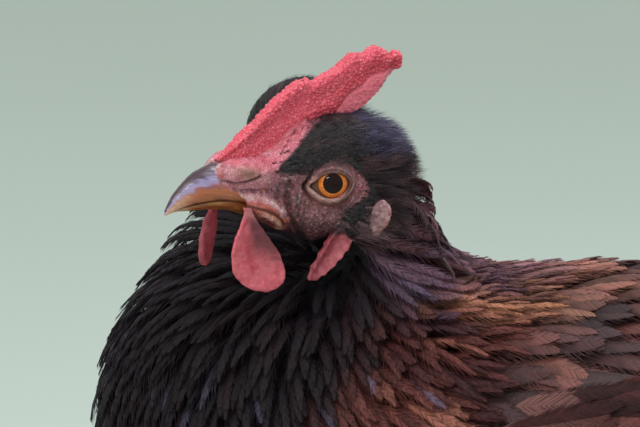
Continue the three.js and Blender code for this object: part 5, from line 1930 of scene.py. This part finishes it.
def ridge_lines(long, wide, start, lift):
    """Feathers that roof the two sides along the ridge."""
    along = np.array([0, math.cos(TAIL_RISE), math.sin(TAIL_RISE)])
    above = np.array([0, -math.sin(TAIL_RISE), math.cos(TAIL_RISE)])
    foot = np.array([0, TAIL_AT[1], TAIL_AT[2] + TAIL_RIDGE])
    at = [foot + along * (start + share * long) + above * (lift + 2 * share) for share in (0, 0.5, 1)]
    return {"root": np.array([at[0]]), "middle": np.array([at[1]]), "tip": np.array([at[2]]),
            "across": np.array([[wide / 2, 0, 0]])}


def add_tail():
    quills, coverts = vane_set("tail_quill"), vane_set("tail_covert")
    glossy = feather_finish("tail_feathers", 0.4, 0.08, (0.3, 0.5, 0.6), 34.0)
    long_ones, small_ones = [], []
    roof = together(ridge_lines(122, 30, -6, 0.6), ridge_lines(60, 26, -12, 2.6),
                    ridge_lines(38, 22, -14, 4.0))
    for sign in SIDES.values():
        long_ones.append(tail_lines(9, (120, 92), 25, (-1, 34), (8.5, 18), -6, 1.1, 0.2, sign, 5))
        small_ones.append(tail_lines(7, (62, 46), 19, (4, 38), (15, 25), -10, 0.55, 2.4, sign, 6))
        small_ones.append(tail_lines(7, (46, 36), 17, (6, 42), (12, 25), -14, 0.5, 3.8, sign, 7))
        small_ones.append(tail_lines(6, (34, 30), 16, (8, 44), (9, 24), -17, 0.5, 5.0, sign, 8))
        small_ones.append(tail_lines(7, (34, 30), 17, (8, 48), (8, 27), -27, 0.5, 4.6, sign, 9))
    root = tube_mesh("tail_root", tail_root_rings())
    skin = bare_skin_finish()
    skin.name = "tail_root_skin"
    add_piece(root, painted(root.vertices, (0.022, 0.009, 0.008)), skin, "tail_plumage", "tail")
    for name, lines, patterns, camber in (("tail_quills", together(*long_ones), quills, 0.2),
                                          ("tail_coverts", together(*small_ones), coverts, 0.2),
                                          ("tail_ridge", roof, quills, 0.75)):
        count = len(lines["root"])
        colour = tinted(painted(lines["root"], (0.016, 0.012, 0.012)), 9)
        if patterns is coverts:
            reddish = smooth(70, 30, np.linalg.norm(lines["tip"] - lines["root"], axis=1))[:, None]
            colour = mix(colour, np.array((0.07, 0.025, 0.02)), 0.5 * reddish)
        on_map = np.stack([0.05 + 0.9 * (np.arange(count) + 0.5) / count, 0.5 + lines["root"][:, 0] / 120], 1)
        tips = colour * (1.3, 1.3, 1.2)
        feathered(name, lines, patterns, glossy, "tail_plumage", colour, tips, on_map, camber=camber)


def tail_root_rings():
    turn = full_turn(48)
    c, s = math.cos(TAIL_RISE), math.sin(TAIL_RISE)
    rings = []
    for t in np.linspace(0.03, math.pi - 0.03, 30):
        x, a, h = 22 * math.sin(t) * np.cos(turn), 34 * math.cos(t), 18 * math.sin(t) * np.sin(turn)
        rings.append(np.stack([x, TAIL_AT[1] - 4 + a * c - h * s, TAIL_AT[2] - 3 + a * s + h * c], 1))
    return rings


# ---------- legs: overlapping plates down the front, pebbled skin behind, worn claws ----------

HOCK, ANKLE = np.array([38, -17, 92]), np.array([43, -39, 9])
TOES = {  # aim from straight ahead, length, how many joints
    "middle": (4, 58, 3), "inner": (-36, 42, 2), "outer": (42, 45, 4), "back": (172, 23, 1)}
CLAW_LENGTH = 12


def heading(aim):
    """The level direction at an angle in degrees from straight ahead, on the left foot."""
    return np.array([math.sin(math.radians(aim)), -math.cos(math.radians(aim)), 0])


def leg_finish():
    f = Finish("leg_scales")
    grime = f.noise(f.place((3, 3, 3)), 4.0)
    fine = f.noise(f.place((0.4, 0.4, 0.4)), 3.0)
    paint = f.attribute("paint")
    paint = f.blend(f.ramp(grime, 0.45, 0.75, 0.0, 0.5), paint, (0.13, 0.07, 0.035))
    f.set(Base_Color=paint, Roughness=0.5, Normal=f.relief(fine, 0.1, 0.5), Subsurface_Weight=0.08,
          Subsurface_Radius=(0.8, 0.5, 0.25), Subsurface_Scale=0.001)
    return f.material


def claw_finish():
    f = Finish("claw_horn")
    paint = f.attribute("paint")
    lines = f.noise(f.place((2.0, 0.5, 0.5)), 3.0)
    f.set(Base_Color=f.blend(f.ramp(lines, 0.4, 0.7, 0.0, 0.5), paint, (0.05, 0.03, 0.02)), Roughness=0.35,
          Normal=f.relief(lines, 0.1, 0.4), Coat_Weight=0.2, Coat_Roughness=0.3)
    return f.material


def scaled_limb(line, widths, front, plates, pebble_size, rows, around, floor=None):
    """Rings of a limb with raised plates along its front and pebbles round its back.

    line and widths are functions of the share along it; front is the way the plates face.
    """
    share = np.linspace(0, 1, rows)
    at = np.array([line(t) for t in share])
    along = unit(np.gradient(at, axis=0))
    across = unit(np.cross(along, front))
    facing = np.cross(across, along)
    turn = full_turn(around)
    from_front = np.degrees(np.abs((turn + math.pi) % (2 * math.pi) - math.pi))
    on_front = smooth(82, 62, from_front)
    half_step = 0.5 * (np.sin(turn) > 0)
    points, grooves = [], []
    for i, t in enumerate(share):
        spot = at[i] + widths(t) * (np.cos(turn)[:, None] * facing[i] + np.sin(turn)[:, None] * across[i])
        run = t * plates + half_step * 0.9 + 0.12 * np.cos(turn * 2)
        saw = run - np.floor(run)
        shingle = 0.5 * smooth(0.0, 0.16, saw) * (1.1 - 0.65 * saw)
        seam = bump(np.sin(turn) * widths(t), 0, 0.32) * (from_front < 90)
        pebble = pebbles(spot * (1, 1, 0.9) + 50, pebble_size)
        height = on_front * (shingle - 0.30 * seam) + (1 - on_front) * 0.38 * pebble
        radial = unit(spot - at[i])
        spot = spot + radial * height[:, None]
        if floor is not None:
            spot[:, 2] = np.maximum(spot[:, 2], floor)
        points.append(spot)
        plate_edge = np.maximum(bump(saw, 0.02, 0.09) + bump(saw, 1.0, 0.05), seam)
        grooves.append(on_front * plate_edge + (1 - on_front) * (1 - pebble) * 0.8)
    return np.array(points), np.concatenate([np.concatenate(grooves), [0, 0]])


def leg_paint(points, groove):
    broad = rough_noise(points + 3, 9.0, 3)
    fine = rough_noise(points + 60, 1.6, 2)
    sole = smooth(3.2, 0.8, points[:, 2])
    return painted(
        points, (0.44, 0.27, 0.085),
        (smooth(0.0, 0.7, broad) * 0.5, (0.34, 0.16, 0.07)),
        (smooth(0.1, 0.8, fine) * 0.35, (0.62, 0.46, 0.22)),
        (groove * 0.75, (0.09, 0.045, 0.025)),
        (sole * 0.6, (0.22, 0.13, 0.075)),
    )


def foot_pad(sign):
    turn = full_turn(64)
    rings = []
    for t in np.linspace(0.03, math.pi - 0.03, 40):
        ring = np.stack([ANKLE[0] + 8.2 * math.sin(t) * np.cos(turn),
                         ANKLE[1] + 9 * math.sin(t) * np.sin(turn),
                         ANKLE[2] - 2 + 7.6 * math.cos(t) + 0 * turn], 1)
        ring = ring + unit(ring - (ANKLE - (0, 0, 2))) * (0.4 * pebbles(ring, 1.9))[:, None]
        ring[:, 2] = np.maximum(ring[:, 2], 0)
        rings.append(ring * (sign, 1, 1))
    return rings


def claw_rings(aim, long, sign):
    direction = heading(aim)
    side = np.array([-direction[1], direction[0], 0])
    turn = full_turn(32)
    rings = []
    for s in np.linspace(-0.35, 1, 50):
        ahead = max(s, 0)
        at = ANKLE * (1, 1, 0) + direction * (long + s * CLAW_LENGTH)
        centre = at + (0, 0, mix(3.9, 0.75, ahead**1.7))
        radius = mix(2.15, 0.3, ahead**1.15) * (1 + 0.03 * math.sin(s * 40))
        ring = centre + radius * (0.85 * np.cos(turn)[:, None] * side + np.sin(turn)[:, None] * (0, 0, 1))
        ring[:, 2] = np.maximum(ring[:, 2], 0.05)
        rings.append(ring * (sign, 1, 1))
    return rings


def add_legs():
    scales, horn = leg_finish(), claw_finish()
    for side, sign in SIDES.items():
        def shank_line(t):
            return mix(HOCK + (0, 2, 5), ANKLE - (0, 0, 1), t) + (0, 1.5 * math.sin(math.pi * t), 0)

        def shank_width(t):
            return 5.0 + 2.7 * bump(t, 0.06, 0.10) + 1.8 * bump(t, 1, 0.13)

        limbs = [scaled_limb(shank_line, shank_width, (0.0, -1, 0.15), 17, 2.0, 230, 84)]
        for name, (aim, long, joints) in TOES.items():
            def toe_width(t):
                joint = 0.4 * math.cos(2 * math.pi * t * joints)
                return mix(5.0, 3.2, t) + joint - 2.6 * smooth(0.93, 1.0, t)

            def toe_line(t):
                height = toe_width(min(t, 0.93)) - 0.7
                return ANKLE * (1, 1, 0) + heading(aim) * (0.04 + 0.97 * t) * long + (0, 0, height)

            limbs.append(scaled_limb(toe_line, toe_width, (0, 0, 1), long / 4.2, 1.5, 130, 48, floor=0.0))
        meshes = []
        for k, (rings, groove) in enumerate(limbs):
            mesh = tube_mesh(f"limb_{k}", rings * (sign, 1, 1))
            store_colour(mesh, leg_paint(places(mesh), groove))
            meshes.append(mesh)
        pad = tube_mesh("pad", foot_pad(sign))
        store_colour(pad, leg_paint(places(pad), 1 - pebbles(places(pad), 1.9)))
        leg = fused(f"leg_{side}_scales", [meshes[0], pad, *meshes[1:]])
        finished(leg, scales, "leg", f"shank_{side}", *[f"toe_{name}_{side}" for name in TOES])
        for name, (aim, long, _) in TOES.items():
            mesh = tube_mesh(f"claw_{name}_{side}_horn", claw_rings(aim, long, sign))
            at = places(mesh)
            run = dot(at - ANKLE * (sign, 1, 1), heading(aim) * (sign, 1, 1))
            paint = painted(
                at, (0.16, 0.10, 0.055),
                (smooth(long + 2, long + CLAW_LENGTH, run) * 0.7, (0.40, 0.30, 0.2)),
                (bump(run, long, 1.2) * 0.7, (0.05, 0.03, 0.02)),
            )
            add_piece(mesh, paint, horn, "claw", f"claw_{name}_{side}")


bare_skin = bare_skin_finish()
hen_skin = add_skin(bare_skin)
add_lids(bare_skin)
add_eyes()
add_bill()
add_comb()
add_hanging_skin()
add_ear_lobes()
add_coat(hen_skin.data)
add_wings()
add_tail()
add_legs()


# ---------- stage ----------

def turn_towards(thing, direction):
    """Turns a camera or a lamp to look along a direction."""
    thing.rotation_mode = "QUATERNION"
    thing.rotation_quaternion = Vector(direction).to_track_quat("-Z", "Y")


def add_camera():
    """The camera stands on the hen's left, a little above the head."""
    near_eye = np.array([43.0, -113.0, 303.0])
    tilt = math.radians(10)
    away = 1400
    sensor = 36
    wide, high = 640, 427  # the picture in pixels
    per_mm = 3.7  # its pixels to a millimetre at the near eye
    back = np.array([math.cos(tilt), 0, math.sin(tilt)])
    up = np.array([-math.sin(tilt), 0, math.cos(tilt)])
    eye_in_picture = (331, 186)
    target = near_eye - np.array([0, 1, 0]) * (eye_in_picture[0] - wide / 2) / per_mm \
        - up * (high / 2 - eye_in_picture[1]) / per_mm
    data = bpy.data.cameras.new("camera")
    data.sensor_width = sensor
    data.lens = sensor * per_mm * away / wide
    data.clip_start, data.clip_end = 0.05, 50
    camera = bpy.data.objects.new("camera", data)
    camera.location = Vector((target + back * away) * MM)
    turn_towards(camera, -back)
    bpy.context.scene.collection.objects.link(camera)
    bpy.context.scene.camera = camera


def add_soft_light(name, at, aim, size, watts, colour=(1, 1, 1)):
    data = bpy.data.lights.new(name, "AREA")
    data.shape, data.size, data.energy, data.color = "DISK", size, watts, colour
    light = bpy.data.objects.new(name, data)
    light.location = at
    turn_towards(light, Vector(aim) - Vector(at))
    bpy.context.scene.collection.objects.link(light)


def add_stage():
    radius, thick = 9000, 30
    turn = full_turn(96)
    floor = tube_mesh("floor", [np.stack([radius * np.cos(turn), radius * np.sin(turn), 0 * turn + z], 1)
                                for z in (-thick, 0)])
    f = Finish("floor_paint")
    cloud = f.noise(f.place((400, 400, 400)), 2.0)
    colour = f.blend(cloud, (0.55, 0.62, 0.55), (0.58, 0.65, 0.58))
    f.set(Base_Color=colour, Roughness=0.9, Specular_IOR_Level=0.1)
    floor.materials.append(f.material)
    floor = object_of("floor", floor)
    world = bpy.data.worlds.new("studio")
    world.use_nodes = True
    sky = world.node_tree.nodes["Background"]
    sky.inputs["Color"].default_value = (0.90, 0.96, 0.95, 1)
    sky.inputs["Strength"].default_value = 0.74
    bpy.context.scene.world = world
    hen = (0.02, -0.10, 0.27)
    add_soft_light("lamp_front", (1.25, -0.62, 1.15), hen, 0.14, 3)
    add_soft_light("lamp_rear", (1.25, -0.42, 1.2), hen, 0.14, 2.5)
    add_soft_light("window", (0.8, -1.2, 1.5), hen, 1.1, 9)
    add_soft_light("top", (0.1, 0.25, 1.6), hen, 1.3, 9, (0.90, 0.94, 1.0))
    add_soft_light("rear", (-0.9, 1.0, 1.0), hen, 0.9, 6, (0.85, 0.9, 1.0))
    bpy.context.scene.view_settings.view_transform = "Standard"


add_camera()
add_stage()
